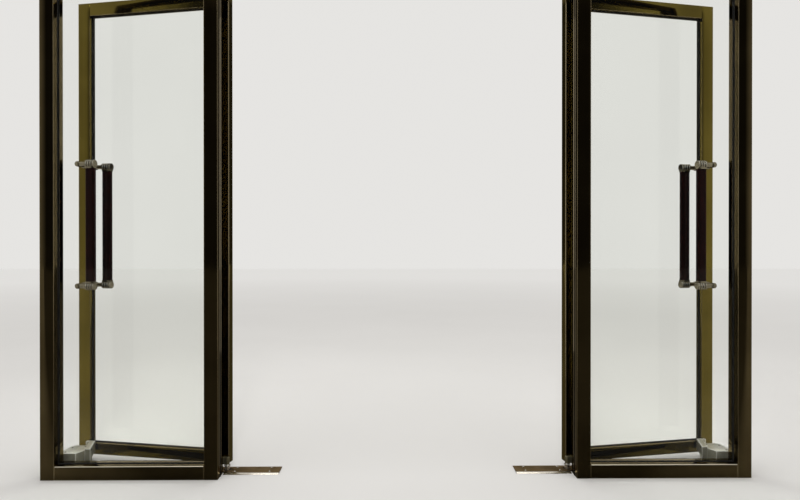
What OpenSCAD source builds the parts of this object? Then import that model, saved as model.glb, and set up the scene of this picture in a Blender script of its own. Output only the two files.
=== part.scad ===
// Glazed entrance screen with a pair of pivot-hung doors between two fixed sidelights.
// Millimetres. X runs along the screen, Y runs from the street side to the inner side, Z is up from the floor.
// The origin is the middle of the left door post's foot. The doors are drawn folded back to their open rest place.

/* [Opening] */
// Clear width between the two door posts
clear_w = 1708; // [1500:1:1900]
// Clear height from the floor to the underside of the head
clear_h = 2400; // [2100:1:2700]
// Daylight width of each fixed sidelight
sidelight_w = 706; // [500:1:900]

/* [Frame] */
// Face width of the two door posts
post_w = 66; // [54:1:90]
// Face width of the two wall jambs
jamb_w = 66; // [54:1:90]
// Face height of the head rails
head_h = 66; // [54:1:100]
// Face height of the sidelight sills
sill_h = 66; // [54:1:100]
// Depth of every frame member from front to back
frame_d = 92; // [80:1:120]
// Chamfer along the edges of the frame and door members
arris = 1.5; // [0.5:0.5:3]
// Width of the weather seal in the doorway side of each post and in each meeting edge
seal_w = 8; // [5:1:14]
// Depth of the groove that holds the weather seal
seal_d = 6; // [3:1:9]
// How far the weather seal stands out of its groove
seal_proud = 1.5; // [0.5:0.5:3]

/* [Glazing] */
// Thickness of the sidelight glass
sidelight_glass_t = 12; // [8:1:16]
// Thickness of the door glass
door_glass_t = 10; // [6:1:14]
// Thickness of the black gasket on each face of the glass
gasket_t = 4; // [2:0.5:6]
// How deep the glass edge sits in the members
glass_bite = 12; // [8:1:16]
// Room left between the glass edge and the bottom of its groove
glass_room = 3; // [2:1:5]
// How far the gasket shows past the members
gasket_lip = 2; // [1:0.5:4]

/* [Doors] */
// Angle from shut to the open rest place
open_angle = 168.5; // [120:0.5:170]
// Thickness of each door leaf
door_t = 46; // [40:1:56]
// Face width of the stile at the meeting edge
lead_w = 66; // [54:1:90]
// Face width of the stile at the heel edge
heel_w = 66; // [54:1:90]
// Radius of the heel edge's two rounded corners
heel_round = 5; // [2:0.5:10]
// Height of the top rail of a door
top_rail_h = 66; // [54:1:100]
// Height of the bottom rail of a door
bottom_rail_h = 59; // [50:1:120]
// Gap between the floor and the underside of a door
floor_gap = 32; // [28:1:50]
// Gap between the top of a door and the head
head_gap = 33; // [30:1:60]
// Gap between the meeting edges of the two doors when both are shut
meeting_gap = 18; // [16:1:24]
// How far the seal in a meeting edge stands out of its groove
meeting_proud = 6; // [3:0.5:6]

/* [Pivots] */
// Distance from the doorway side of a post to the pivot line
pivot_inset = 11; // [10:1:20]
// Distance from the back of the frame to the pivot line
pivot_back = 38; // [30:1:60]
// How far the heel edge of a door lies beyond the pivot line
heel_lap = 4; // [0:0.5:5]
// Distance from the pivot line to the nearer face of the door
leaf_offset = 10; // [9:0.5:14]
// Height of the pivot shoe at each end of the heel stile
shoe_h = 34; // [24:1:45]
// Length of a pivot shoe from the pivot line along the door
shoe_l = 30; // [20:1:50]
// Radius of the rounded nose of a pivot shoe
shoe_r = 11; // [11:0.5:14]
// Diameter of the floor spindle's tenon in the bottom shoe
spindle_d = 16; // [12:1:20]
// Depth that the tenon and the top pin reach into the shoes
pin_reach = 20; // [14:1:22]
// Running clearance between a pin and its bore, measured on the radius
pin_fit = 0.05; // [0.02:0.01:0.1]
// Diameter of the visible neck of the floor spindle
neck_d = 23; // [20:1:28]
// Diameter of the lip at the top of the neck
lip_d = 30; // [28:1:34]
// Height of the lip at the top of the neck
lip_h = 5; // [3:1:8]
// Height of the gap between the spindle's shoulder and the door
shoulder_gap = 4; // [2:1:6]
// Diameter of the sunk ring round the neck
ring_d = 36; // [32:1:46]
// Depth of the sunk ring in the cover plate
ring_sink = 2; // [1:0.5:3]
// Diameter of the top pin
top_pin_d = 14; // [10:1:18]
// Diameter of the collar on the top pin
collar_d = 24; // [20:1:32]
// Thickness of the collar on the top pin
collar_t = 3; // [2:1:4]
// Width of the arm that carries the top pin
arm_w = 46; // [36:1:60]
// Height of the arm that carries the top pin
arm_h = 25; // [15:1:25]
// Thickness of the arm's flange on the back of the frame
flange_t = 7; // [4:1:9]
// Height of the arm's flange
flange_h = 80; // [60:1:88]
// Width of the arm's flange
flange_w = 74; // [60:1:90]

/* [Floor plate] */
// Length of the stainless cover plate on the floor
plate_l = 305; // [250:1:340]
// Distance from the front edge of the cover plate to the pivot line
plate_front = 62; // [50:1:75]
// Distance from the pivot line to the back edge of the cover plate
plate_rear = 50; // [40:1:60]
// Thickness of the cover plate above the floor
plate_t = 5; // [4:0.5:6]
// Thickness of the plate's bevelled long edges
plate_edge = 1; // [0.5:0.5:2]
// Width of the bevel along the plate's two long edges
plate_bevel = 16; // [8:1:20]
// Distance from the post end of the plate to the pivot line
plate_end = 42; // [36:1:60]
// Clearance between the notched cover plate and the post
plate_gap = 6; // [3:1:10]
// Diameter of the four screw holes
screw_d = 5.4; // [4:0.2:7]
// Distance from the pivot line to the nearer pair of screw holes
screw_near = 43; // [30:1:60]
// Distance between the two pairs of screw holes
screw_span = 170; // [140:1:190]
// Spacing of the two screw holes in a pair
screw_pitch = 54; // [44:1:60]

/* [Pull handles] */
// Height of the lower end of a grip above the floor
grip_z = 929; // [800:1:1100]
// Length of a grip between its collars
grip_l = 577; // [400:1:800]
// Width of a grip along the door
grip_w = 50; // [36:1:56]
// Thickness of a grip
grip_t = 24; // [18:1:30]
// Radius of the rounded edges of a grip
grip_edge = 8; // [4:1:9]
// Distance from the meeting edge of the door to the middle of a grip
grip_in = 104; // [100:1:140]
// Distance from the face of the door to the middle of a grip
grip_out = 44; // [40:1:70]
// Height of the flat collar at each end of a grip
ferrule_h = 7; // [4:1:12]
// How far the collar stands out round the grip
ferrule_lip = 2; // [1:0.5:3]
// How deep the collar sits in the barrel, below the grooves
ferrule_seat = 2; // [1:1:6]
// Diameter of the ringed barrel above and below a grip
barrel_d = 40; // [32:1:46]
// Depth of the grooves between the rings of a barrel
ring_cut = 3; // [1:0.5:4]
// Width of the grooves between the rings of a barrel
ring_gap = 4; // [2:0.5:6]
// Number of rings on a barrel
rings = 4; // [2:1:5]
// Diameter of the round arms from the door to the barrels
pull_arm_d = 22; // [16:1:26]
// Diameter and length of the turned hub at the elbow of each arm
elbow_d = 28; // [27:1:36]
// Bevel on the nose of the hub
elbow_bevel = 4; // [2:1:6]
// Diameter of the rose where an arm meets the door
rose_d = 36; // [30:1:50]
// Thickness of the rose
rose_t = 5; // [3:1:8]

/* [Door holders] */
// Distance from the meeting edge of the door to the middle of the catch
catch_in = 78; // [60:1:140]
// Clearance between the catch and the open door
catch_gap = 6; // [5:1:12]
// Height of the top of the catch arm
catch_h = 106; // [102:1:125]
// Height of the underside of the catch arm's free end
catch_under = 48; // [40:1:60]
// Length of the catch arm's free end, from the door back to its foot
catch_reach = 92; // [60:1:100]
// Width of the catch arm
catch_w = 28; // [16:1:32]
// Width of the catch's nose at the door
nose_w = 46; // [36:1:50]
// Width of the holder's housing along the screen
holder_w = 98; // [80:1:120]
// Height of the holder's housing
holder_h = 100; // [80:1:120]
// Room between the back of the housing and the open door
holder_room = 70; // [40:1:80]
// How far the housing's inner side stands past the middle of the catch
holder_side = 32; // [0:1:40]
// Size across the screen of the housing's cut corners
holder_cut = 19; // [8:1:30]
// Distance from the frame to the shoulder where the catch arm leaves the housing
holder_shoulder = 50; // [30:1:60]

/* [Centre stop] */
// Width of the stop under the middle of the head
stop_w = 100; // [70:1:150]
// Depth of the stop from front to back
stop_d = 34; // [20:1:45]
// Height of the dark block of the stop
stop_block_h = 24; // [15:1:28]
// Height of the bright plate below the block
stop_plate_h = 14; // [12:1:20]
// Clearance between the stop and the face of a shut door
stop_gap = 6; // [5:1:10]

/* [Hidden] */

// Faceting of round pieces
round_fn = 64;
// How far a cutting shape runs past the face that it cuts
past = 1;

// Frame places
centre_x = (post_w + clear_w) / 2;
back_y = frame_d / 2;
frame_top = clear_h + head_h;
sidelight_x = -post_w / 2 - sidelight_w;
sidelight_h = clear_h - sill_h;
sidelight_groove = sidelight_glass_t + 2 * gasket_t;
groove_d = glass_bite + glass_room;

// Door places, measured from the heel edge towards the meeting edge
pivot_x = post_w / 2 + pivot_inset;
pivot_y = back_y + pivot_back;
leaf_y = -leaf_offset - door_t / 2;
door_l = clear_w / 2 - pivot_inset + heel_lap - meeting_gap / 2;
door_top = clear_h - head_gap;
door_h = door_top - floor_gap;
door_groove = door_glass_t + 2 * gasket_t;
daylight_l = door_l - lead_w - heel_w;
daylight_z = floor_gap + bottom_rail_h;
daylight_h = door_h - bottom_rail_h - top_rail_h;

// Pivot places
shoulder_z = floor_gap - shoulder_gap;
arm_z = clear_h - arm_h;

// Front of the stop, which stands before the outer face of the shut doors
stop_y = pivot_y - leaf_offset - door_t - stop_gap - stop_d;

// Pull handle places
grip_x = door_l - grip_in;
grip_y = door_t / 2 + grip_out;
arm_end_x = door_l - lead_w / 2;
barrel_rise = ferrule_h + barrel_d / 2 - ring_cut;
low_barrel_z = grip_z - barrel_rise;
high_barrel_z = grip_z + grip_l + barrel_rise;

// Door holder places, worked out from where the catch meets the face of the open door
catch_s = door_l - catch_in - heel_lap;
catch_x = pivot_x + catch_s * cos(open_angle) + leaf_offset * sin(open_angle);
catch_y = pivot_y + catch_s * sin(open_angle) - leaf_offset * cos(open_angle);
holder_d = catch_y - holder_room - back_y;
shoulder_y = back_y + holder_shoulder;

// Colours
bronze = [0.16, 0.13, 0.08];
clear_glass = [0.75, 0.82, 0.72, 0.35];
black_rubber = [0.05, 0.05, 0.05];
satin_steel = [0.62, 0.61, 0.57];
bright_steel = [0.8, 0.8, 0.78];
cast_grey = [0.6, 0.6, 0.56];
oxblood = [0.14, 0.04, 0.04];

// Moves a left-hand piece to its mirrored place on the right
module across() {
    translate([2 * centre_x, 0, 0])
        mirror([1, 0, 0])
            children();
}

// Puts a piece drawn round the pivot line of the shut left door at the open rest place
module on_left_pivot() {
    translate([pivot_x, pivot_y, 0])
        rotate([0, 0, open_angle])
            children();
}

// The same for a piece drawn from the heel edge of the leaf, with y = 0 in the middle of its thickness
module on_left_door() {
    on_left_pivot()
        translate([-heel_lap, leaf_y, 0])
            children();
}

// Rectangle with cut corners, from the origin along x and centred on y
module bar_section(w, d, cut = arris) {
    polygon([
        [cut, -d / 2], [w - cut, -d / 2], [w, -d / 2 + cut], [w, d / 2 - cut],
        [w - cut, d / 2], [cut, d / 2], [0, d / 2 - cut], [0, -d / 2 + cut]
    ]);
}

// Lying member from the origin along x, centred on y, standing on z = 0
module lying_bar(length, h, d) {
    rotate([90, 0, 90])
        linear_extrude(length)
            rotate([0, 0, 90])
                bar_section(h, d);
}

// Pane centred on y, with its lower left daylight corner at the origin
module pane(w, h, t) {
    translate([-glass_bite, -t / 2, -glass_bite])
        cube([w + 2 * glass_bite, t, h + 2 * glass_bite]);
}

// Flat gasket ring on each face of a pane
module gasket_rings(w, h, glass_t) {
    for (face_y = [-glass_t / 2 - gasket_t, glass_t / 2])
        translate([0, face_y, 0])
            difference() {
                translate([-glass_bite, 0, -glass_bite])
                    cube([w + 2 * glass_bite, gasket_t, h + 2 * glass_bite]);
                translate([gasket_lip, -past, gasket_lip])
                    cube([w - 2 * gasket_lip, gasket_t + 2 * past, h - 2 * gasket_lip]);
            }
}

// Upright slot for a pane, reaching sideways into a member from x = 0
module upright_groove(z, h, groove) {
    translate([0, -groove / 2, z - groove_d])
        cube([groove_d + past, groove, h + 2 * groove_d]);
}

module left_jamb() {
    color(bronze)
        difference() {
            translate([sidelight_x - jamb_w, 0, 0])
                linear_extrude(frame_top)
                    bar_section(jamb_w, frame_d);
            translate([sidelight_x - groove_d, 0, 0])
                upright_groove(sill_h, sidelight_h, sidelight_groove);
        }
}

module left_post() {
    color(bronze)
        difference() {
            translate([-post_w / 2, 0, 0])
                linear_extrude(frame_top)
                    bar_section(post_w, frame_d);
            translate([-post_w / 2 - past, 0, 0])
                upright_groove(sill_h, sidelight_h, sidelight_groove);
            translate([post_w / 2 - seal_d, -seal_w / 2, -past])
                cube([seal_d + past, seal_w, clear_h + past]);
        }
}

module left_post_seal() {
    color(black_rubber)
        translate([post_w / 2 - seal_d, -seal_w / 2, 0])
            cube([seal_d + seal_proud, seal_w, clear_h]);
}

module left_head_rail() {
    color(bronze)
        translate([sidelight_x, 0, clear_h])
            difference() {
                lying_bar(sidelight_w, head_h, frame_d);
                translate([-past, -sidelight_groove / 2, -past])
                    cube([sidelight_w + 2 * past, sidelight_groove, groove_d + past]);
            }
}

module middle_head_rail() {
    color(bronze)
        translate([post_w / 2, 0, clear_h])
            lying_bar(clear_w, head_h, frame_d);
}

module left_sill() {
    color(bronze)
        translate([sidelight_x, 0, 0])
            difference() {
                lying_bar(sidelight_w, sill_h, frame_d);
                translate([-past, -sidelight_groove / 2, sill_h - groove_d])
                    cube([sidelight_w + 2 * past, sidelight_groove, groove_d + past]);
            }
}

module left_sidelight_glass() {
    color(clear_glass)
        translate([sidelight_x, 0, sill_h])
            pane(sidelight_w, sidelight_h, sidelight_glass_t);
}

module left_sidelight_gasket() {
    color(black_rubber)
        translate([sidelight_x, 0, sill_h])
            gasket_rings(sidelight_w, sidelight_h, sidelight_glass_t);
}

// Cover plate with bevelled long edges, lying along x with the pivot line at the origin
module cover_plate() {
    translate([-plate_end, 0, 0])
        rotate([90, 0, 90])
            linear_extrude(plate_l)
                polygon([
                    [-plate_front, 0], [plate_rear, 0], [plate_rear, plate_edge], [plate_rear - plate_bevel, plate_t],
                    [plate_bevel - plate_front, plate_t], [-plate_front, plate_edge]
                ]);
}

// Cover plate, notched round the post, with the lipped neck and the tenon of the floor spindle
module left_floor_pivot() {
    color(satin_steel)
        translate([pivot_x, pivot_y, 0]) {
            difference() {
                cover_plate();
                translate([-pivot_inset - post_w, -pivot_y - back_y, -past])
                    cube([post_w + plate_gap, frame_d + plate_gap, plate_t + 2 * past]);
                for (x = [screw_near, screw_near + screw_span], y = [-screw_pitch / 2, screw_pitch / 2])
                    translate([x, y, -past])
                        cylinder(d = screw_d, h = plate_t + 2 * past, $fn = round_fn);
                translate([0, 0, plate_t - ring_sink])
                    cylinder(d = ring_d, h = ring_sink + past, $fn = round_fn);
            }
            cylinder(d = neck_d, h = shoulder_z, $fn = round_fn);
            translate([0, 0, shoulder_z - lip_h])
                cylinder(d = lip_d, h = lip_h, $fn = round_fn);
            cylinder(d = spindle_d, h = floor_gap + pin_reach, $fn = round_fn);
        }
}

// Flanged arm on the back of the frame that carries the top pin
module left_pivot_arm() {
    color(bronze)
        difference() {
            union() {
                translate([pivot_x - flange_w / 2, back_y, arm_z])
                    cube([flange_w, flange_t, flange_h]);
                translate([pivot_x - arm_w / 2, back_y, arm_z])
                    cube([arm_w, pivot_y - back_y, arm_h]);
                translate([pivot_x, pivot_y, arm_z])
                    cylinder(d = arm_w, h = arm_h, $fn = round_fn);
            }
            translate([pivot_x, pivot_y, arm_z - past])
                cylinder(r = top_pin_d / 2 + pin_fit, h = arm_h + 2 * past, $fn = round_fn);
        }
}

module left_pivot_pin() {
    color(bright_steel)
        translate([pivot_x, pivot_y, 0]) {
            translate([0, 0, door_top - pin_reach])
                cylinder(d = top_pin_d, h = clear_h - door_top + pin_reach, $fn = round_fn);
            translate([0, 0, arm_z - collar_t])
                cylinder(d = collar_d, h = collar_t, $fn = round_fn);
        }
}

// Plan of the holder's housing, from the back of the frame, with its inner side at x = 0
module holder_plan() {
    polygon([
        [-holder_w, 0], [-holder_cut, 0], [0, holder_shoulder], [0, holder_d],
        [holder_cut - holder_w, holder_d], [-holder_w, holder_d - holder_cut]
    ]);
}

// Plan of the catch: an oblique arm from the shoulder of the housing, and a nose that runs into the door
module catch_plan() {
    polygon([
        [catch_x + holder_side, shoulder_y], [catch_x + holder_side + catch_w, shoulder_y],
        [catch_x + nose_w / 2, catch_y - nose_w / 2], [catch_x + nose_w / 2, catch_y + nose_w / 2],
        [catch_x - nose_w / 2, catch_y + nose_w / 2], [catch_x - nose_w / 2, catch_y - nose_w / 2],
        [catch_x + nose_w / 2 - catch_w, catch_y - nose_w / 2]
    ]);
}

// Cast holder behind the frame; the catch is drawn too long and then cut back clear of the open door
module left_door_holder() {
    color(cast_grey)
        difference() {
            union() {
                translate([catch_x + holder_side, back_y, 0])
                    linear_extrude(holder_h)
                        holder_plan();
                difference() {
                    linear_extrude(catch_h)
                        catch_plan();
                    translate([catch_x - catch_reach, catch_y - catch_reach, -past])
                        cube([2 * catch_reach, 2 * catch_reach, catch_under + past]);
                }
            }
            on_left_door()
                translate([0, -door_t / 2 - past, 0])
                    cube([2 * door_l, door_t + catch_gap + past, frame_top]);
        }
}

module stop_block() {
    color(bronze)
        translate([centre_x - stop_w / 2, stop_y, clear_h - stop_block_h])
            cube([stop_w, stop_d, stop_block_h]);
}

module stop_plate() {
    color(bright_steel)
        translate([centre_x - stop_w / 2, stop_y, clear_h - stop_block_h - stop_plate_h])
            cube([stop_w, stop_d, stop_plate_h]);
}

// Section of the heel stile, with two rounded corners at the heel edge
module heel_section() {
    inner_t = door_t - 2 * heel_round;
    translate([0, -inner_t / 2])
        square([heel_w, inner_t]);
    translate([heel_round, -door_t / 2])
        square([heel_w - heel_round, door_t]);
    for (y = [-inner_t / 2, inner_t / 2])
        translate([heel_round, y])
            circle(r = heel_round, $fn = round_fn);
}

module left_heel_stile() {
    color(bronze)
        on_left_door()
            difference() {
                translate([0, 0, floor_gap])
                    linear_extrude(door_h)
                        heel_section();
                translate([heel_w - groove_d, 0, 0])
                    upright_groove(daylight_z, daylight_h, door_groove);
            }
}

// Section of a pivot shoe: a nose about the pivot line and a flat back that lies on the door's face
module shoe_section() {
    intersection() {
        union() {
            circle(r = shoe_r, $fn = 2 * round_fn);
            translate([0, -shoe_r])
                square([shoe_l, 2 * shoe_r]);
        }
        translate([-shoe_r, -leaf_offset])
            square([shoe_r + shoe_l, leaf_offset + shoe_r]);
    }
}

// Pivot shoes on the door's face, at the foot and the top of the heel stile, bored for the spindle and the pin
module left_pivot_shoes() {
    color(cast_grey)
        on_left_pivot() {
            difference() {
                translate([0, 0, floor_gap])
                    linear_extrude(shoe_h)
                        shoe_section();
                translate([0, 0, floor_gap - past])
                    cylinder(r = spindle_d / 2 + pin_fit, h = pin_reach + 2 * past, $fn = round_fn);
            }
            difference() {
                translate([0, 0, door_top - shoe_h])
                    linear_extrude(shoe_h)
                        shoe_section();
                translate([0, 0, door_top - pin_reach - past])
                    cylinder(r = top_pin_d / 2 + pin_fit, h = pin_reach + 2 * past, $fn = round_fn);
            }
        }
}

module left_lead_stile() {
    color(bronze)
        on_left_door()
            difference() {
                translate([door_l - lead_w, 0, floor_gap])
                    linear_extrude(door_h)
                        bar_section(lead_w, door_t);
                translate([door_l - lead_w - past, 0, 0])
                    upright_groove(daylight_z, daylight_h, door_groove);
                translate([door_l - seal_d, -seal_w / 2, floor_gap - past])
                    cube([seal_d + past, seal_w, door_h + 2 * past]);
            }
}

module left_meeting_seal() {
    color(black_rubber)
        on_left_door()
            translate([door_l - seal_d, -seal_w / 2, floor_gap])
                cube([seal_d + meeting_proud, seal_w, door_h]);
}

module left_top_rail() {
    color(bronze)
        on_left_door()
            translate([heel_w, 0, door_top - top_rail_h])
                difference() {
                    lying_bar(daylight_l, top_rail_h, door_t);
                    translate([-past, -door_groove / 2, -past])
                        cube([daylight_l + 2 * past, door_groove, groove_d + past]);
                }
}

module left_bottom_rail() {
    color(bronze)
        on_left_door()
            translate([heel_w, 0, floor_gap])
                difference() {
                    lying_bar(daylight_l, bottom_rail_h, door_t);
                    translate([-past, -door_groove / 2, bottom_rail_h - groove_d])
                        cube([daylight_l + 2 * past, door_groove, groove_d + past]);
                }
}

module left_door_glass() {
    color(clear_glass)
        on_left_door()
            translate([heel_w, 0, daylight_z])
                pane(daylight_l, daylight_h, door_glass_t);
}

module left_door_gasket() {
    color(black_rubber)
        on_left_door()
            translate([heel_w, 0, daylight_z])
                gasket_rings(daylight_l, daylight_h, door_glass_t);
}

// Upright grip bar with rounded edges; side is 1 for the inner face of the door and -1 for the outer
module grip(side) {
    straight_x = grip_w / 2 - grip_edge;
    straight_y = grip_t / 2 - grip_edge;
    translate([grip_x, side * grip_y, grip_z])
        linear_extrude(grip_l) {
            square([grip_w, 2 * straight_y], center = true);
            square([2 * straight_x, grip_t], center = true);
            for (x = [-straight_x, straight_x], y = [-straight_y, straight_y])
                translate([x, y])
                    circle(r = grip_edge, $fn = round_fn / 2);
        }
}

// Ringed barrel lying along the door, centred on its own middle
module barrel() {
    land = (grip_w - (rings - 1) * ring_gap) / rings;
    rotate([0, 90, 0]) {
        cylinder(r = barrel_d / 2 - ring_cut, h = grip_w, center = true, $fn = round_fn);
        for (i = [0 : rings - 1])
            translate([0, 0, i * (land + ring_gap) - grip_w / 2])
                cylinder(d = barrel_d, h = land, $fn = round_fn);
    }
}

// One handle arm at height z: rose, post, hub and arm, with the barrel and the collar that faces the grip
module pull_arm(side, z, collar_up) {
    translate([0, 0, z]) {
        translate([arm_end_x, side * door_t / 2, 0])
            rotate([-90 * side, 0, 0]) {
                cylinder(d = rose_d, h = rose_t, $fn = round_fn);
                cylinder(d = pull_arm_d, h = grip_out, $fn = round_fn);
                translate([0, 0, grip_out - elbow_d / 2])
                    cylinder(d = elbow_d, h = elbow_d - elbow_bevel, $fn = round_fn);
                translate([0, 0, grip_out + elbow_d / 2 - elbow_bevel])
                    cylinder(d1 = elbow_d, d2 = elbow_d - 2 * elbow_bevel, h = elbow_bevel, $fn = round_fn);
            }
        translate([grip_x, side * grip_y, 0]) {
            rotate([0, 90, 0])
                cylinder(d = pull_arm_d, h = arm_end_x - grip_x, $fn = round_fn);
            barrel();
            translate([-grip_w / 2 - ferrule_lip, -grip_t / 2 - ferrule_lip,
                       collar_up ? barrel_rise - ferrule_h - ferrule_seat : -barrel_rise])
                cube([grip_w + 2 * ferrule_lip, grip_t + 2 * ferrule_lip, ferrule_h + ferrule_seat]);
        }
    }
}

module left_inner_grip() {
    color(oxblood)
        on_left_door()
            grip(1);
}

module left_outer_grip() {
    color(oxblood)
        on_left_door()
            grip(-1);
}

module left_pull_arms() {
    color(bright_steel)
        on_left_door()
            for (side = [-1, 1]) {
                pull_arm(side, low_barrel_z, true);
                pull_arm(side, high_barrel_z, false);
            }
}

left_jamb();
across() left_jamb();  // right_jamb
left_post();
across() left_post();  // right_post
left_head_rail();
middle_head_rail();
across() left_head_rail();  // right_head_rail
left_sill();
across() left_sill();  // right_sill
left_sidelight_glass();
across() left_sidelight_glass();  // right_sidelight_glass
left_sidelight_gasket();
across() left_sidelight_gasket();  // right_sidelight_gasket
left_post_seal();
across() left_post_seal();  // right_post_seal
left_floor_pivot();
across() left_floor_pivot();  // right_floor_pivot
left_pivot_arm();
across() left_pivot_arm();  // right_pivot_arm
left_pivot_pin();
across() left_pivot_pin();  // right_pivot_pin
left_door_holder();
across() left_door_holder();  // right_door_holder
stop_block();
stop_plate();
left_heel_stile();
left_lead_stile();
left_meeting_seal();
left_top_rail();
left_bottom_rail();
left_door_glass();
left_door_gasket();
left_inner_grip();
left_outer_grip();
left_pull_arms();
left_pivot_shoes();
across() left_heel_stile();  // right_heel_stile
across() left_lead_stile();  // right_lead_stile
across() left_meeting_seal();  // right_meeting_seal
across() left_top_rail();  // right_top_rail
across() left_bottom_rail();  // right_bottom_rail
across() left_door_glass();  // right_door_glass
across() left_door_gasket();  // right_door_gasket
across() left_inner_grip();  // right_inner_grip
across() left_outer_grip();  // right_outer_grip
across() left_pull_arms();  // right_pull_arms
across() left_pivot_shoes();  // right_pivot_shoes
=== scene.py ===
"""Dresses a glazed entrance screen: polished dark bronze members, clear panes, two pivot-hung doors and their fittings.

Lengths are in metres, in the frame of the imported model. X runs along the screen, y runs from the street side to the
inner side, z is up from the floor, and the origin is the middle of the left door post's foot. Left-hand pieces are
modelled and then copied across the middle of the doorway. Door pieces are modelled on the shut left door, from its
heel edge, and then swung to the open rest place.
"""

import logging
import math
from contextlib import contextmanager
from dataclasses import dataclass
from enum import Enum
from functools import cache
from typing import Callable, Iterator, Sequence

import bmesh
import bpy
from mathutils import Matrix, Vector


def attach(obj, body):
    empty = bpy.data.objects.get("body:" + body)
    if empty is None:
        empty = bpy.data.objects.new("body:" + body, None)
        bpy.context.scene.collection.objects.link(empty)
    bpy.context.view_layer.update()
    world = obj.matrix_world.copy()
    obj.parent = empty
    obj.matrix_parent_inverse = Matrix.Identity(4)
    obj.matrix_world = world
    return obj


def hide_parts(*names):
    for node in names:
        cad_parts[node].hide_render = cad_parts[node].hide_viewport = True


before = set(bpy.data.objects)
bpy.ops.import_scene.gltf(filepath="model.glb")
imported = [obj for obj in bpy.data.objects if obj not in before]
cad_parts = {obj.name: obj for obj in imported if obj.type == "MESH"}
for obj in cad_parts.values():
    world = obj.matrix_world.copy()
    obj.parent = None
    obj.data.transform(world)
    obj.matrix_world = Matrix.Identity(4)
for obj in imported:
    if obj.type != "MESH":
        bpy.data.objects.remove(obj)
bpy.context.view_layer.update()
LOG = logging.getLogger("entrance_screen")

Triple = tuple[float, float, float]
Steps = Sequence[tuple[float, float]]
Test = Callable[[Vector, Vector], bool]
SMALL = 1e-5
FACING, FLAT, TILTED = 0.9, 0.99, 0.1
QUARTER = math.pi / 2
SMOOTH_BELOW = math.radians(32)


def shift(x: float, y: float, z: float) -> Matrix:
    """Returns the matrix of a move."""
    return Matrix.Translation((x, y, z))


def spin(axis: str, angle: float) -> Matrix:
    """Returns the matrix of a turn about an axis through the origin."""
    return Matrix.Rotation(angle, 4, axis)


def steps_at(height: float, radius: float, *offsets: tuple[float, float]) -> list[tuple[float, float]]:
    """Returns the steps of a turned profile that lie at offsets from one height and radius."""
    return [(height + up, radius + out) for up, out in offsets]


# ---- Sizes ----


@dataclass(frozen=True)
class Screen:
    """Sizes of the fixed frame, as in the part's source, and of the edges and seals of every member."""

    clear_w: float = 1.708
    clear_h: float = 2.400
    sidelight_w: float = 0.706
    member: float = 0.066
    depth: float = 0.092
    glass_t: float = 0.012
    gasket_t: float = 0.004
    bite: float = 0.012
    room: float = 0.003
    lip: float = 0.002
    arris: float = 0.0018
    seal_w: float = 0.008
    seal_d: float = 0.006

    @property
    def centre_x(self) -> float:
        """Middle of the doorway."""
        return (self.member + self.clear_w) / 2

    @property
    def back_y(self) -> float:
        """Inner face of the frame."""
        return self.depth / 2

    @property
    def top(self) -> float:
        """Top of the head rails."""
        return self.clear_h + self.member

    @property
    def side_x(self) -> float:
        """Wall end of the left sidelight's daylight opening."""
        return -self.member / 2 - self.sidelight_w

    @property
    def groove_d(self) -> float:
        """Depth of the grooves that hold the panes."""
        return self.bite + self.room

    @property
    def groove_half(self) -> float:
        """Half of the width of those grooves."""
        return self.glass_t / 2 + self.gasket_t


@dataclass(frozen=True)
class Leaf:
    """Sizes of one door leaf, measured from its heel edge towards the meeting edge."""

    length: float = 0.838
    thickness: float = 0.046
    lead_w: float = 0.066
    heel_w: float = 0.066
    heel_round: float = 0.005
    top_rail: float = 0.066
    bottom_rail: float = 0.059
    foot: float = 0.032
    top: float = 2.367
    glass_t: float = 0.010
    pivot_x: float = 0.044
    pivot_y: float = 0.084
    lap: float = 0.004
    offset: float = 0.010
    open_angle: float = math.radians(168.5)

    @property
    def half(self) -> float:
        """Half of the leaf's thickness."""
        return self.thickness / 2

    @property
    def sight_low(self) -> float:
        """Foot of the pane's daylight opening."""
        return self.foot + self.bottom_rail

    @property
    def sight_high(self) -> float:
        """Top of the pane's daylight opening."""
        return self.top - self.top_rail

    @property
    def over_pivot(self) -> Matrix:
        """Moves a piece drawn at the origin to the left pivot line."""
        return shift(self.pivot_x, self.pivot_y, 0)

    @property
    def on_pivot(self) -> Matrix:
        """Takes a piece of the shut left door, drawn round the pivot line, to the open rest place."""
        return self.over_pivot @ spin("Z", self.open_angle)

    @property
    def at_rest(self) -> Matrix:
        """Does the same for a piece drawn from the heel edge, with y = 0 in the middle of the leaf."""
        return self.on_pivot @ shift(-self.lap, -self.offset - self.half, 0)


SCREEN = Screen()
LEAF = Leaf()


# ---- Finishes ----


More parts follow.
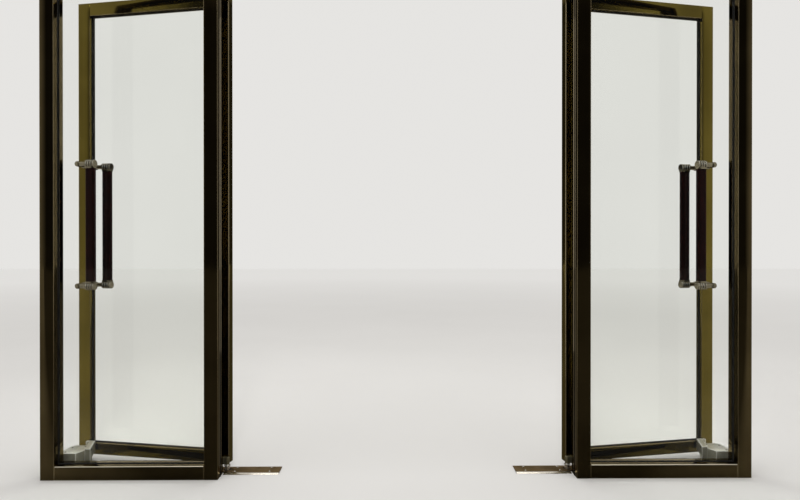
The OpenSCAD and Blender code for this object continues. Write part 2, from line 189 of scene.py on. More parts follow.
class Sheet:
    """A node tree under construction, with short calls for nodes and links."""

    def __init__(self, tree: bpy.types.NodeTree) -> None:
        """Takes over and clears the tree of a material, a world or a group."""
        self.tree = tree
        tree.nodes.clear()

    def add(self, kind: str, settings: dict | None = None, **inputs: object) -> bpy.types.Node:
        """Adds a node, and sets or links its inputs.

        Args:
            kind: Blender's type name of the node.
            settings: Properties of the node itself.
            **inputs: Values, colours or output sockets, named by the socket with _ for a space, or i0, i1 by number.

        Returns:
            The new node.
        """
        node = self.tree.nodes.new(kind)
        for key, value in (settings or {}).items():
            setattr(node, key, value)
        for key, value in inputs.items():
            numbered = key[0] == "i" and key[1:].isdigit()
            socket = node.inputs[int(key[1:]) if numbered else key.replace("_", " ")]
            if isinstance(value, bpy.types.NodeSocket):
                self.tree.links.new(value, socket)
            else:
                socket.default_value = (*value, 1.0) if socket.type == "RGBA" else value
        return node

    def maths(self, operation: str, *values: object) -> bpy.types.NodeSocket:
        """Adds a Math node and returns its result."""
        named = {f"i{place}": value for place, value in enumerate(values)}
        return self.add("ShaderNodeMath", {"operation": operation}, **named).outputs[0]

    def vector(self, operation: str, first: object, output: str = "Vector", **rest: object) -> bpy.types.NodeSocket:
        """Adds a Vector Math node and returns its result."""
        return self.add("ShaderNodeVectorMath", {"operation": operation}, i0=first, **rest).outputs[output]

    def span(self, value: object, low: float, high: float, start: float = 0, end: float = 1) -> bpy.types.NodeSocket:
        """Adds a clamped Map Range node and returns its result."""
        return self.add("ShaderNodeMapRange", i0=value, i1=low, i2=high, i3=start, i4=end).outputs[0]

    def blend(self, share: object, first: object, second: object) -> bpy.types.NodeSocket:
        """Adds a colour Mix node and returns its result."""
        return self.add("ShaderNodeMix", {"data_type": "RGBA"}, i0=share, i6=first, i7=second).outputs[2]

    def noise(self, vector: object, scale: object, detail: float, roughness: float = 0.5) -> bpy.types.NodeSocket:
        """Adds a Noise Texture and returns its value."""
        named = {"Vector": vector, "Scale": scale, "Detail": detail, "Roughness": roughness}
        return self.add("ShaderNodeTexNoise", **named).outputs["Fac"]


class Group(Sheet):
    """A node group under construction."""

    def __init__(self, name: str, **inputs: str) -> None:
        """Starts the group.

        Args:
            name: Name of the group.
            **inputs: Kind of each input: Vector, Float or Color.
        """
        super().__init__(bpy.data.node_groups.new(name, "ShaderNodeTree"))
        for label, kind in inputs.items():
            self.tree.interface.new_socket(name=label, in_out="INPUT", socket_type=f"NodeSocket{kind}")
        self.given = self.add("NodeGroupInput").outputs

    def close(self, **outputs: bpy.types.NodeSocket) -> bpy.types.NodeTree:
        """Ends the group.

        Args:
            **outputs: What each output gives.

        Returns:
            The finished group.
        """
        for label, source in outputs.items():
            kind = "NodeSocketColor" if source.type == "RGBA" else "NodeSocketFloat"
            self.tree.interface.new_socket(name=label, in_out="OUTPUT", socket_type=kind)
        self.add("NodeGroupOutput", **outputs)
        return self.tree


class Effects:
    """Shared surface effects, each a node group that is made once."""

    @staticmethod
    @cache
    def polish_lines() -> bpy.types.NodeTree:
        """Fine lines that a polishing belt leaves along a member, over its slow waviness."""
        group = Group("polish_lines", Vector="Vector", Stretch="Vector")
        fine = group.vector("MULTIPLY", group.given["Vector"], i1=group.given["Stretch"])
        lines = group.noise(fine, scale=1.0, detail=4.0, roughness=0.6)
        bands = group.noise(group.vector("SCALE", fine, Scale=0.16), scale=1.0, detail=2.0)
        height = group.maths("ADD", group.maths("MULTIPLY", lines, 0.35), bands)
        return group.close(Height=height, Streak=group.span(bands, 0.38, 0.66))

    @staticmethod
    @cache
    def tone_drift() -> bpy.types.NodeTree:
        """Slow drift between two tones of one finish."""
        group = Group("tone_drift", Vector="Vector", Size="Float", Dark="Color", Light="Color")
        cloud = group.noise(group.given["Vector"], group.given["Size"], detail=4.0, roughness=0.55)
        share = group.span(cloud, 0.36, 0.66)
        return group.close(Color=group.blend(share, group.given["Dark"], group.given["Light"]), Share=share)

    @staticmethod
    @cache
    def hand_marks() -> bpy.types.NodeTree:
        """Patches that hands and cloths have dulled, with fine crossing wipes."""
        group = Group("hand_marks", Vector="Vector", Size="Float", Amount="Float")
        place = group.given["Vector"]
        cloud = group.noise(place, group.given["Size"], detail=5.0, roughness=0.62)
        wipe = group.add("ShaderNodeTexWave", Vector=place, Scale=38.0, Distortion=9.0, Detail=3.0).outputs["Fac"]
        mark = group.maths("MULTIPLY", group.span(cloud, 0.5, 0.72), group.span(wipe, 0.0, 1.0, start=0.55))
        return group.close(Dulling=group.maths("MULTIPLY", mark, group.given["Amount"]))

    @staticmethod
    @cache
    def fine_skin() -> bpy.types.NodeTree:
        """Close-set pits and bumps, as on a blasted casting or moulded rubber."""
        group = Group("fine_skin", Vector="Vector", Fineness="Float")
        place, fineness = group.given["Vector"], group.given["Fineness"]
        pits = group.add("ShaderNodeTexVoronoi", Vector=place, Scale=fineness).outputs["Distance"]
        rough = group.noise(place, group.maths("MULTIPLY", fineness, 0.4), detail=4.0, roughness=0.6)
        height = group.maths("ADD", group.maths("MULTIPLY", pits, 0.5), rough)
        return group.close(Height=height, Speck=group.span(rough, 0.55, 0.75))


class Surface(Sheet):
    """A material with one Principled shader, and the calls that the finishes share."""

    def __init__(self, name: str, **plain: object) -> None:
        """Starts the material.

        Args:
            name: Name of the material.
            **plain: Principled inputs that are the same all over, with _ for a space.
        """
        self.material = bpy.data.materials.new(name)
        self.material.use_nodes = True
        super().__init__(self.material.node_tree)
        self.shader = self.add("ShaderNodeBsdfPrincipled", **plain)
        self.out = self.add("ShaderNodeOutputMaterial", Surface=self.shader.outputs[0])
        self.place = self.add("ShaderNodeTexCoord").outputs["Object"]

    def effect(self, group: bpy.types.NodeTree, **values: object) -> bpy.types.bpy_prop_collection:
        """Places a shared effect with its own values and returns its outputs."""
        return self.add("ShaderNodeGroup", {"node_tree": group}, Vector=self.place, **values).outputs

    def drift(self, size: float, dark: Triple, light: Triple) -> bpy.types.bpy_prop_collection:
        """Places the slow drift between two tones and returns its outputs."""
        return self.effect(Effects.tone_drift(), Size=size, Dark=dark, Light=light)

    def marks(self, size: float, amount: float) -> bpy.types.NodeSocket:
        """Places the dulled patches and returns their share of roughness."""
        return self.effect(Effects.hand_marks(), Size=size, Amount=amount)["Dulling"]

    def feed(self, colour: bpy.types.NodeSocket, roughness: bpy.types.NodeSocket) -> None:
        """Links the surface's colour and roughness to the shader."""
        self.tree.links.new(colour, self.shader.inputs["Base Color"])
        self.tree.links.new(roughness, self.shader.inputs["Roughness"])

    def raise_skin(self, height: bpy.types.NodeSocket, distance: float, strength: float) -> bpy.types.Material:
        """Gives the surface a bump.

        Args:
            height: Height over the surface, about 0 to 1.
            distance: Height in metres that 1 stands for.
            strength: Share of the bump that shows.

        Returns:
            The finished material.
        """
        bump = self.add("ShaderNodeBump", Strength=strength, Distance=distance, Height=height)
        self.tree.links.new(bump.outputs[0], self.shader.inputs["Normal"])
        return self.material


class Grain(Enum):
    """Which way the polishing lines of a metal run, and how close they are."""

    UPRIGHT = (240.0, 240.0, 1.6)
    LYING = (1.6, 240.0, 240.0)
    EVEN = (90.0, 90.0, 90.0)
    BRUSHED = (6.0, 700.0, 700.0)
    MILLED = (6.0, 500.0, 500.0)


@dataclass(frozen=True)
class BrightMetal:
    """Polished or satin light metal, with turning or rolling lines and dulled patches."""

    name: str
    light: Triple = (0.60, 0.585, 0.55)
    dark: Triple = (0.44, 0.425, 0.39)
    shine: float = 0.10
    marks: float = 0.12
    grain: Grain = Grain.EVEN
    rim: Triple = (1.0, 1.0, 1.0)
    turn: float = 0.0
    drift_size: float = 14.0
    mark_size: float = 22.0
    streak_tone: float = 0.0
    streak_dulling: float = 0.06
    line_height: float = 0.0003
    line_depth: float = 0.05

    def make(self) -> bpy.types.Material:
        """Builds the material."""
        skin = Surface(self.name, Metallic=1.0, Specular_Tint=self.rim)
        turn = {"Vector": skin.place, "Rotation": (0.0, 0.0, self.turn)}
        skin.place = skin.add("ShaderNodeMapping", **turn).outputs[0]
        lines = skin.effect(Effects.polish_lines(), Stretch=self.grain.value)
        tone = skin.drift(self.drift_size, self.dark, self.light)
        share = skin.maths("MULTIPLY", lines["Streak"], self.streak_tone)
        dulled = skin.maths("ADD", skin.marks(self.mark_size, self.marks), self.shine)
        streaked = skin.maths("ADD", dulled, skin.maths("MULTIPLY", lines["Streak"], self.streak_dulling))
        skin.feed(skin.blend(share, tone["Color"], self.light), streaked)
        return skin.raise_skin(lines["Height"], self.line_height, self.line_depth)


@dataclass(frozen=True)
class PolishedBronze(BrightMetal):
    """Mirror-polished dark bronze, with belt lines, slow tone drift and wiped patches."""

    light: Triple = (0.072, 0.054, 0.025)
    dark: Triple = (0.045, 0.033, 0.015)
    shine: float = 0.05
    marks: float = 0.09
    grain: Grain = Grain.UPRIGHT
    rim: Triple = (0.92, 0.84, 0.70)
    drift_size: float = 2.6
    mark_size: float = 7.0
    streak_tone: float = 0.3
    streak_dulling: float = 0.03
    line_height: float = 0.0002
    line_depth: float = 0.008


@dataclass(frozen=True)
class CastMetal:
    """Warm light-grey satin casting with a blasted skin."""

    name: str
    light: Triple
    dark: Triple
    drift_size: float = 26.0
    mark_size: float = 30.0
    marks: float = 0.14
    shine: float = 0.36

    def make(self) -> bpy.types.Material:
        """Builds the material."""
        skin = Surface(self.name, Metallic=0.85)
        tone = skin.drift(self.drift_size, self.dark, self.light)
        pits = skin.effect(Effects.fine_skin(), Fineness=700.0)
        darker = skin.blend(skin.maths("MULTIPLY", pits["Speck"], 0.35), tone["Color"], self.dark)
        skin.feed(darker, skin.maths("ADD", skin.marks(self.mark_size, self.marks), self.shine))
        return skin.raise_skin(pits["Height"], distance=0.0004, strength=0.35)


@dataclass(frozen=True)
class BlackRubber:
    """Black gasket rubber with a moulded skin and a faint bloom."""

    name: str
    gloss: float = 0.2
    light: Triple = (0.020, 0.019, 0.017)
    dark: Triple = (0.006, 0.006, 0.006)

    def make(self) -> bpy.types.Material:
        """Builds the material."""
        skin = Surface(self.name, Specular_IOR_Level=self.gloss)
        bloom = skin.drift(18.0, self.dark, self.light)
        pits = skin.effect(Effects.fine_skin(), Fineness=1200.0)
        skin.feed(bloom["Color"], skin.span(bloom["Share"], 0.0, 1.0, 0.60, 0.78))
        return skin.raise_skin(pits["Height"], distance=0.0003, strength=0.3)


@dataclass(frozen=True)
class OxbloodLeather:
    """Dark oxblood hide, satin, with pore cells, long creases and darker worn patches."""

    name: str
    light: Triple = (0.011, 0.0018, 0.0016)
    dark: Triple = (0.0030, 0.0006, 0.0006)
    rim: Triple = (1.0, 0.25, 0.22)
    pore_scale: float = 520.0

    def make(self) -> bpy.types.Material:
        """Builds the material."""
        skin = Surface(self.name, Specular_IOR_Level=0.07, Specular_Tint=self.rim)
        cells = {"Vector": skin.place, "Scale": self.pore_scale}
        rims = skin.add("ShaderNodeTexVoronoi", {"feature": "DISTANCE_TO_EDGE"}, **cells).outputs["Distance"]
        pores = skin.span(rims, 0.0, 0.22)
        crease = skin.noise(skin.place, scale=120.0, detail=4.0, roughness=0.65)
        tone = skin.drift(16.0, self.dark, self.light)
        skin.feed(skin.blend(pores, self.dark, tone["Color"]), skin.span(crease, 0.3, 0.7, 0.30, 0.46))
        height = skin.maths("ADD", skin.maths("MULTIPLY", pores, 0.6), crease)
        return skin.raise_skin(height, distance=0.0006, strength=0.35)


@dataclass(frozen=True)
class WaxedThread:
    """Twisted dark thread of the grips' seams."""

    name: str
    light: Triple = (0.050, 0.014, 0.010)
    shade: float = 0.45
    twist_scale: float = 900.0

    def make(self) -> bpy.types.Material:
        """Builds the material."""
        skin = Surface(self.name)
        wave = {"Vector": skin.place, "Scale": self.twist_scale}
        twist = skin.add("ShaderNodeTexWave", {"bands_direction": "DIAGONAL"}, **wave).outputs["Fac"]
        dark = [self.shade * channel for channel in self.light]
        skin.feed(skin.blend(twist, dark, self.light), skin.span(twist, 0.0, 1.0, 0.62, 0.44))
        return skin.raise_skin(twist, distance=0.0002, strength=0.5)


@dataclass(frozen=True)
class ClearPane:
    """Clear float glass with a faint green cast, which lets lamps through."""

    name: str
    tint: Triple = (0.975, 0.985, 0.968)
    shade: float = 0.985
    drift_size: float = 1.4

    def make(self) -> bpy.types.Material:
        """Builds the material."""
        skin = Surface(self.name, Transmission_Weight=1.0, IOR=1.30, Metallic=0.0)
        tone = skin.drift(self.drift_size, [self.shade * channel for channel in self.tint], self.tint)
        skin.feed(tone["Color"], skin.marks(size=3.0, amount=0.012))
        shadow = skin.add("ShaderNodeLightPath").outputs["Is Shadow Ray"]
        through = skin.add("ShaderNodeBsdfTransparent", Color=self.tint).outputs[0]
        mixed = skin.add("ShaderNodeMixShader", i0=shadow, i1=skin.shader.outputs[0], i2=through)
        skin.tree.links.new(mixed.outputs[0], skin.out.inputs["Surface"])
        return skin.material


class Finishes:
    """Every finish of the screen, made once."""

    def __init__(self) -> None:
        """Builds the materials."""
        swing = math.pi - LEAF.open_angle
        self.upright = PolishedBronze("bronze_upright").make()
        self.lying = PolishedBronze("bronze_lying", grain=Grain.LYING).make()
        # The doors' copies of the frame's bronze are painted lighter and golder: a painted reflection of the lit room
        # that the doors face.
        self.leaf_upright_painted_lit = PolishedBronze("bronze_door_upright", (0.150, 0.113, 0.022), (0.092, 0.068, 0.012)).make()
        self.leaf_lying_painted_lit = {
            side: PolishedBronze(
                f"bronze_door_lying_{side}", (0.138, 0.104, 0.021), (0.084, 0.062, 0.012), grain=Grain.LYING, turn=turn
            ).make()
            for side, turn in (("left", swing), ("right", -swing))
        }
        # Lighter bronze for the rounded arrises: partly a worn tone, mostly a painted highlight where edges would catch
        # the lamps.
        self.arris = PolishedBronze("bronze_arris_wear_and_highlight", (0.30, 0.245, 0.145), (0.19, 0.15, 0.085), 0.16).make()
        # Near-white bronze for the sill's long upper arrises: a worn tone lifted into a painted highlight.
        self.sill_arris = PolishedBronze(
            "sill_arris", (0.92, 0.86, 0.72), (0.80, 0.74, 0.60), 0.30, grain=Grain.LYING
        ).make()
        # Near-black finish for the grooves between barrel rings: painted shade.
        self.groove = PolishedBronze("groove_painted_shade", (0.020, 0.019, 0.017), (0.012, 0.011, 0.010), 0.35).make()
        self.steel = BrightMetal("polished_steel").make()
        # Pull metal: bright metal darkened and warmed, a painted reflection of a dim, warm room.
        self.pull = BrightMetal("pull_metal", (0.23, 0.20, 0.135), (0.155, 0.135, 0.09), 0.07).make()
        self.neck = BrightMetal("satin_neck", (0.80, 0.78, 0.73), (0.66, 0.64, 0.59), 0.24).make()
        self.plate = BrightMetal(
            "brushed_plate", (0.17, 0.13, 0.085), (0.11, 0.085, 0.055), 0.34, 0.14, Grain.BRUSHED, (0.62, 0.52, 0.40)
        ).make()
        # Pale steel for the cover plate's bevel and rounded edges: a painted highlight of the bright room above.
        self.plate_edge_highlight = BrightMetal(
            "plate_bevel", (0.66, 0.62, 0.54), (0.54, 0.50, 0.43), 0.22, 0.10, Grain.MILLED
        ).make()
        self.cast = CastMetal("satin_casting", (0.40, 0.385, 0.30), (0.30, 0.29, 0.225)).make()
        # Pale finish for the holder's top faces: painted light, as if lit from above.
        self.cast_painted_lit_top = CastMetal("casting_painted_lit_top", (0.90, 0.885, 0.78), (0.76, 0.745, 0.65)).make()
        self.cast_edge = CastMetal("casting_edge", (0.80, 0.79, 0.74), (0.66, 0.65, 0.60)).make()
        self.olive = CastMetal("olive_bronze", (0.24, 0.22, 0.14), (0.17, 0.155, 0.095)).make()
        self.rubber = BlackRubber("gasket_rubber").make()
        self.pile = BlackRubber("matt_seal", 0.0).make()
        self.leather = OxbloodLeather("oxblood_leather").make()
        self.thread = WaxedThread("waxed_thread").make()
        self.glass = ClearPane("clear_pane").make()


# ---- Modelling ----


class Piece:
    """One mesh, from its first primitive to its place on the screen."""

    def __init__(self, name: str) -> None:
        """Takes over the last primitive and names it and its mesh."""
        self.obj: bpy.types.Object = bpy.context.object
        self.obj.name = self.obj.data.name = name

    @staticmethod
    def alone(*objs: bpy.types.Object) -> None:
        """Selects these objects and nothing else."""
        bpy.ops.object.select_all(action="DESELECT")
        for obj in objs:
            obj.select_set(True)
        bpy.context.view_layer.objects.active = objs[0]

    @classmethod
    def block(cls, name: str, low: Sequence[float], high: Sequence[float]) -> "Piece":
        """Starts a piece as a block between two corners.

        Args:
            name: Name of the piece.
            low: Its lowest corner.
            high: Its highest corner.

        Returns:
            The block.
        """
        low, high = Vector(low), Vector(high)
        bpy.ops.mesh.primitive_cube_add(size=1, location=(low + high) / 2)
        piece = cls(name)
        piece.obj.scale = high - low
        return piece.settle()

    @classmethod
    def turned(cls, name: str, steps: Steps, sides: int = 32) -> "Piece":
        """Turns a solid on the z axis by extruding and resizing a disc.

        Args:
            name: Name of the piece.
            steps: Height and radius at each step of the profile, from one end to the other.
            sides: Facets round the axis.

        Returns:
            The turned piece.
        """
        height, radius = steps[0]
        bpy.ops.mesh.primitive_circle_add(vertices=sides, radius=radius, fill_type="NGON", location=(0, 0, height))
        piece = cls(name).settle()
        with piece.shaping():
            bpy.ops.mesh.select_all(action="SELECT")
            for next_height, next_radius in steps[1:]:
                bpy.ops.mesh.extrude_region_move(TRANSFORM_OT_translate={"value": (0, 0, next_height - height)})
                if next_radius != radius:
                    share = next_radius / radius
                    bpy.ops.transform.resize(value=(share, share, 1), center_override=(0, 0, next_height))
                height, radius = next_height, next_radius
        return piece.outward()

    def settle(self) -> "Piece":
        """Moves the object's place, turn and scale into its mesh."""
        self.alone(self.obj)
        bpy.ops.object.transform_apply(location=True, rotation=True, scale=True)
        return self

    def place(self, matrix: Matrix) -> "Piece":
        """Moves the piece and settles it there.

        Args:
            matrix: The move; a mirroring one turns the faces outwards again.

        Returns:
            The piece.
        """
        self.obj.matrix_world = matrix
        self.settle()
        return self.outward() if matrix.determinant() < 0 else self

    @contextmanager
    def shaping(self) -> Iterator[None]:
        """Opens the mesh in edit mode with nothing selected, and closes it again."""
        self.alone(self.obj)
        bpy.ops.object.mode_set(mode="EDIT")
        bpy.ops.mesh.select_mode(type="FACE")
        bpy.ops.mesh.select_all(action="DESELECT")
        yield
        bpy.ops.object.mode_set(mode="OBJECT")

    def outward(self) -> "Piece":
        """Merges doubled corners and points every face outwards."""
        with self.shaping():
            bpy.ops.mesh.select_all(action="SELECT")
            bpy.ops.mesh.remove_doubles(threshold=1e-6)
            bpy.ops.mesh.normals_make_consistent(inside=False)
        return self

    def take(self, test: Test) -> None:
        """Selects faces, while shaping.

        Args:
            test: Test of a face's middle and normal.
        """
        mesh = bmesh.from_edit_mesh(self.obj.data)
        for face in mesh.faces:
            face.select_set(bool(test(face.calc_center_median(), face.normal)))
        mesh.select_flush_mode()
        bmesh.update_edit_mesh(self.obj.data)

    def take_edges(self, test: Test) -> None:
        """Selects edges, while shaping.

        Args:
            test: Test of an edge's middle and direction.
        """
        bpy.ops.mesh.select_mode(type="EDGE")
        mesh = bmesh.from_edit_mesh(self.obj.data)
        for edge in mesh.edges:
            start, end = (corner.co for corner in edge.verts)
            edge.select_set(bool(test((start + end) / 2, (end - start).normalized())))
        bmesh.update_edit_mesh(self.obj.data)

    def slice(self, at: Sequence[float], normal: Sequence[float], drop: bool = False) -> "Piece":
        """Cuts the mesh along a plane.

        Args:
            at: A point of the plane.
            normal: Normal of the plane.
            drop: True to take away the side that the normal points to and close the cut.

        Returns:
            The piece.
        """
        with self.shaping():
            bpy.ops.mesh.select_all(action="SELECT")
            bpy.ops.mesh.bisect(plane_co=at, plane_no=normal, clear_outer=drop, use_fill=drop)
        return self

    def push(self, test: Test, by: Sequence[float]) -> "Piece":
        """Extrudes faces.

        Args:
            test: Test of a face's middle and normal.
            by: How far they move.

        Returns:
            The piece.
        """
        with self.shaping():
            self.take(test)
            bpy.ops.mesh.extrude_region_move(TRANSFORM_OT_translate={"value": tuple(by)})
        return self

    def sink(self, side: Sequence[float], low: Sequence[float], high: Sequence[float]) -> "Piece":
        """Cuts a pocket into the face that looks one way.

        Args:
            side: Direction along one axis that the pocket opens to.
            low: Lowest corner of the pocket.
            high: Highest corner of the pocket.

        Returns:
            The piece.
        """
        side, low, high = Vector(side), Vector(low), Vector(high)
        main = max(range(3), key=lambda axis: abs(side[axis]))
        mouth = high[main] if side[main] > 0 else low[main]
        others = [axis for axis in range(3) if axis != main]
        for axis in others:
            for at in (low[axis], high[axis]):
                self.slice([at if n == axis else 0 for n in range(3)], [float(n == axis) for n in range(3)])

        def inside(middle: Vector, normal: Vector) -> bool:
            """True for a face at the pocket's mouth."""
            level = abs(middle[main] - mouth) < SMALL and normal.dot(side) > FACING
            return level and all(low[axis] < middle[axis] < high[axis] for axis in others)

        return self.push(inside, side * (low[main] - high[main]))

    def carve(self, *cutters: "Piece") -> "Piece":
        """Cuts other pieces out of this one with applied Booleans, and clears them away.

        Args:
            *cutters: The other pieces.

        Returns:
            The piece.
        """
        for cutter in cutters:
            cut = self.obj.modifiers.new("pocket", "BOOLEAN")
            cut.operation, cut.solver, cut.object = "DIFFERENCE", "EXACT", cutter.obj
            self.alone(self.obj)
            bpy.ops.object.modifier_apply(modifier=cut.name)
            self.alone(cutter.obj)
            bpy.ops.object.delete()
        self.alone(self.obj)
        return self

    def soften(self, width: float, segments: int = 3, angle: float = 40, paint: int = -1) -> "Piece":
        """Rounds every edge sharper than an angle with an applied Bevel.

        Args:
            width: Width of the rounding.
            segments: Faces across the rounding.
            angle: Least angle between two faces, in degrees.
            paint: Number of the material for the rounded faces, or -1 for the neighbours' own.

        Returns:
            The piece.
        """
        bevel = self.obj.modifiers.new("arris", "BEVEL")
        bevel.width, bevel.segments, bevel.material = width, segments, paint
        bevel.limit_method, bevel.angle_limit = "ANGLE", math.radians(angle)
        self.alone(self.obj)
        bpy.ops.object.modifier_apply(modifier=bevel.name)
        return self

    def round_edges(self, test: Test, offset: float, segments: int, paint: int = -1) -> "Piece":
        """Rounds chosen edges.

        Args:
            test: Test of an edge's middle and direction.
            offset: Radius of the rounding.
            segments: Faces across the rounding.
            paint: Number of the material for the rounded faces, or -1 for the neighbours' own.

        Returns:
            The piece.
        """
        with self.shaping():
            self.take_edges(test)
            bpy.ops.mesh.bevel(offset=offset, segments=segments, affect="EDGES", material=paint)
        return self

    def dress(self, *materials: bpy.types.Material) -> "Piece":
        """Gives the mesh its materials.

        Args:
            *materials: The materials, the first one over all.

        Returns:
            The piece.
        """
        self.obj.data.materials.clear()
        for material in materials:
            self.obj.data.materials.append(material)
        return self

    def paint(self, number: int, test: Test) -> "Piece":
        """Gives some faces another of the piece's materials.

        Args:
            number: The material's number.
            test: Test of a face's middle and normal.

        Returns:
            The piece.
        """
        with self.shaping():
            self.take(test)
            self.obj.active_material_index = number
            bpy.ops.object.material_slot_assign()
        return self

    def join(self, *others: "Piece") -> "Piece":
        """Takes other pieces into this one."""
        self.alone(self.obj, *[other.obj for other in others])
        bpy.ops.object.join()
        return self

    def copy(self, name: str, matrix: Matrix) -> "Piece":
        """Copies the piece with its own mesh.

        Args:
            name: Name of the copy.
            matrix: Where the copy moves to.

        Returns:
            The copy.
        """
        twin = self.obj.copy()
        twin.data = self.obj.data.copy()
        bpy.context.collection.objects.link(twin)
        bpy.context.view_layer.objects.active = twin
        return Piece(name).place(matrix)

    def repeat(self, spots: Sequence[Matrix]) -> "Piece":
        """Puts the piece at the first spot and a copy at each other one, and joins them."""
        copies = [self.copy(f"{self.obj.name}_{number}", spot) for number, spot in enumerate(spots[1:])]
        return self.place(spots[0]).join(*copies)

    def fit(self, body: str, slot: str, *nodes: str) -> None:
        """Shades the piece, and makes it ride on its body and stand for CAD nodes.

        Args:
            body: The CAD body that it moves with.
            slot: The record's material slot of its finish; not used.
            *nodes: CAD nodes that it replaces.
        """
        self.alone(self.obj)
        bpy.ops.object.shade_smooth_by_angle(angle=SMOOTH_BELOW)
        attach(self.obj, body)
        if nodes:
            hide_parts(*nodes)
        faces = len(self.obj.data.polygons)
        LOG.info("%s: %d faces on %s, for %s", self.obj.name, faces, body, ", ".join(nodes) or "detail")

    def fit_pair(self, on_door: bool, slot: str, *nodes: str, other: bpy.types.Material | None = None) -> None:
        """Copies the left piece across the doorway and fits both.

        Args:
            on_door: True if the pieces swing with the doors.
            slot: The record's material slot of their finish.
            *nodes: CAD nodes that they replace, without left_ or right_.
            other: First material of the right piece, if it differs.
        """
        across = shift(2 * SCREEN.centre_x, 0, 0) @ Matrix.Diagonal((-1, 1, 1, 1))
        twin = self.copy(self.obj.name.replace("left_", "right_", 1), across)
        if other:
            twin.obj.data.materials[0] = other
        for side, piece in (("left", self), ("right", twin)):
            piece.fit(f"{side}_door" if on_door else "frame", slot, *[f"{side}_{node}" for node in nodes])


@dataclass(frozen=True)
class Screw:
    """A slotted screw head, and how the slots of a row of such heads are turned."""

    radius: float
    rise: float
    slot: float
    first_turn: float
    next_turn: float = 1.0
    shape: Steps = ((-1.0, 1.0), (0.35, 1.0), (0.8, 0.86), (1.0, 0.7))

    def heads(self, name: str, spots: Sequence[Matrix]) -> Piece:
        """Models a head that looks up z, and puts one at each spot.

        Args:
            name: Name of the piece.
            spots: Place of each head, and the way that it looks.

        Returns:
            All heads as one piece.
        """
        reach, half, top = self.radius / 2, self.slot / 2, self.rise
        head = Piece.turned(name, [(up * top, out * self.radius) for up, out in self.shape], sides=28)
        head.sink((0, 0, 1), (-reach, -half, top / 4), (reach, half, top))
        return head.repeat([
            spot @ spin("Z", self.first_turn + self.next_turn * number) for number, spot in enumerate(spots)
        ])


@dataclass
class Part:
    """What every sub-assembly works with: the finishes and the main sizes."""

    finishes: Finishes
    screen: Screen = SCREEN
    leaf: Leaf = LEAF

    def bronze(
        self, name: str, low: Sequence[float], high: Sequence[float], finish: bpy.types.Material,
        arris: float = SCREEN.arris,
    ) -> Piece:
        """Models a plain bronze member with softly rounded arrises, painted in the lighter arris bronze as worn tone
        and painted highlight.
        """
        return Piece.block(name, low, high).dress(finish, self.finishes.arris).soften(arris, paint=1)

    def round_bar(self, name: str, radius: float, reach: float, low: float, high: float) -> Piece:
        """Models an upright bar that starts at x = 0 and has one end rounded about the z axis.

        Args:
            name: Name of the piece.
            radius: Radius of the round end, and half of the bar's thickness.
            reach: How far the bar reaches along x.
            low: Height of its foot.
            high: Height of its top.

        Returns:
            The bar.
        """
        middle = (0, 0, (low + high) / 2)
        bpy.ops.mesh.primitive_cylinder_add(vertices=160, radius=radius, depth=high - low, location=middle)
        bar = Piece(name).settle().slice((0, 0, 0), (1, 0, 0), drop=True)
        return bar.push(lambda at, normal: normal.x > FLAT and abs(at.x) < SMALL, (reach, 0, 0)).outward()

    def seal(self, name: str, edge: float, proud: float, low: float, high: float) -> Piece:
        """Models an upright seal strip with two fins, sunk into an edge that looks along x.

        Args:
            name: Name of the piece.
            edge: Place of the edge along x.
            proud: How far the fins stand out from it.
            low: Height of the strip's foot.
            high: Height of its top.

        Returns:
            The strip.
        """
        half, tip = self.screen.seal_w / 2, edge + proud
        fin_d, fin_gap, fin_round = 0.0025, 0.0018, 0.0009
        strip = Piece.block(name, (edge - self.screen.seal_d, -half, low), (tip, half, high))
        strip.sink((1, 0, 0), (tip - fin_d, -fin_gap / 2, low - SMALL), (tip, fin_gap / 2, high + SMALL))
        return strip.soften(fin_round, segments=2, angle=60).dress(self.finishes.pile)


# ---- The fixed screen ----


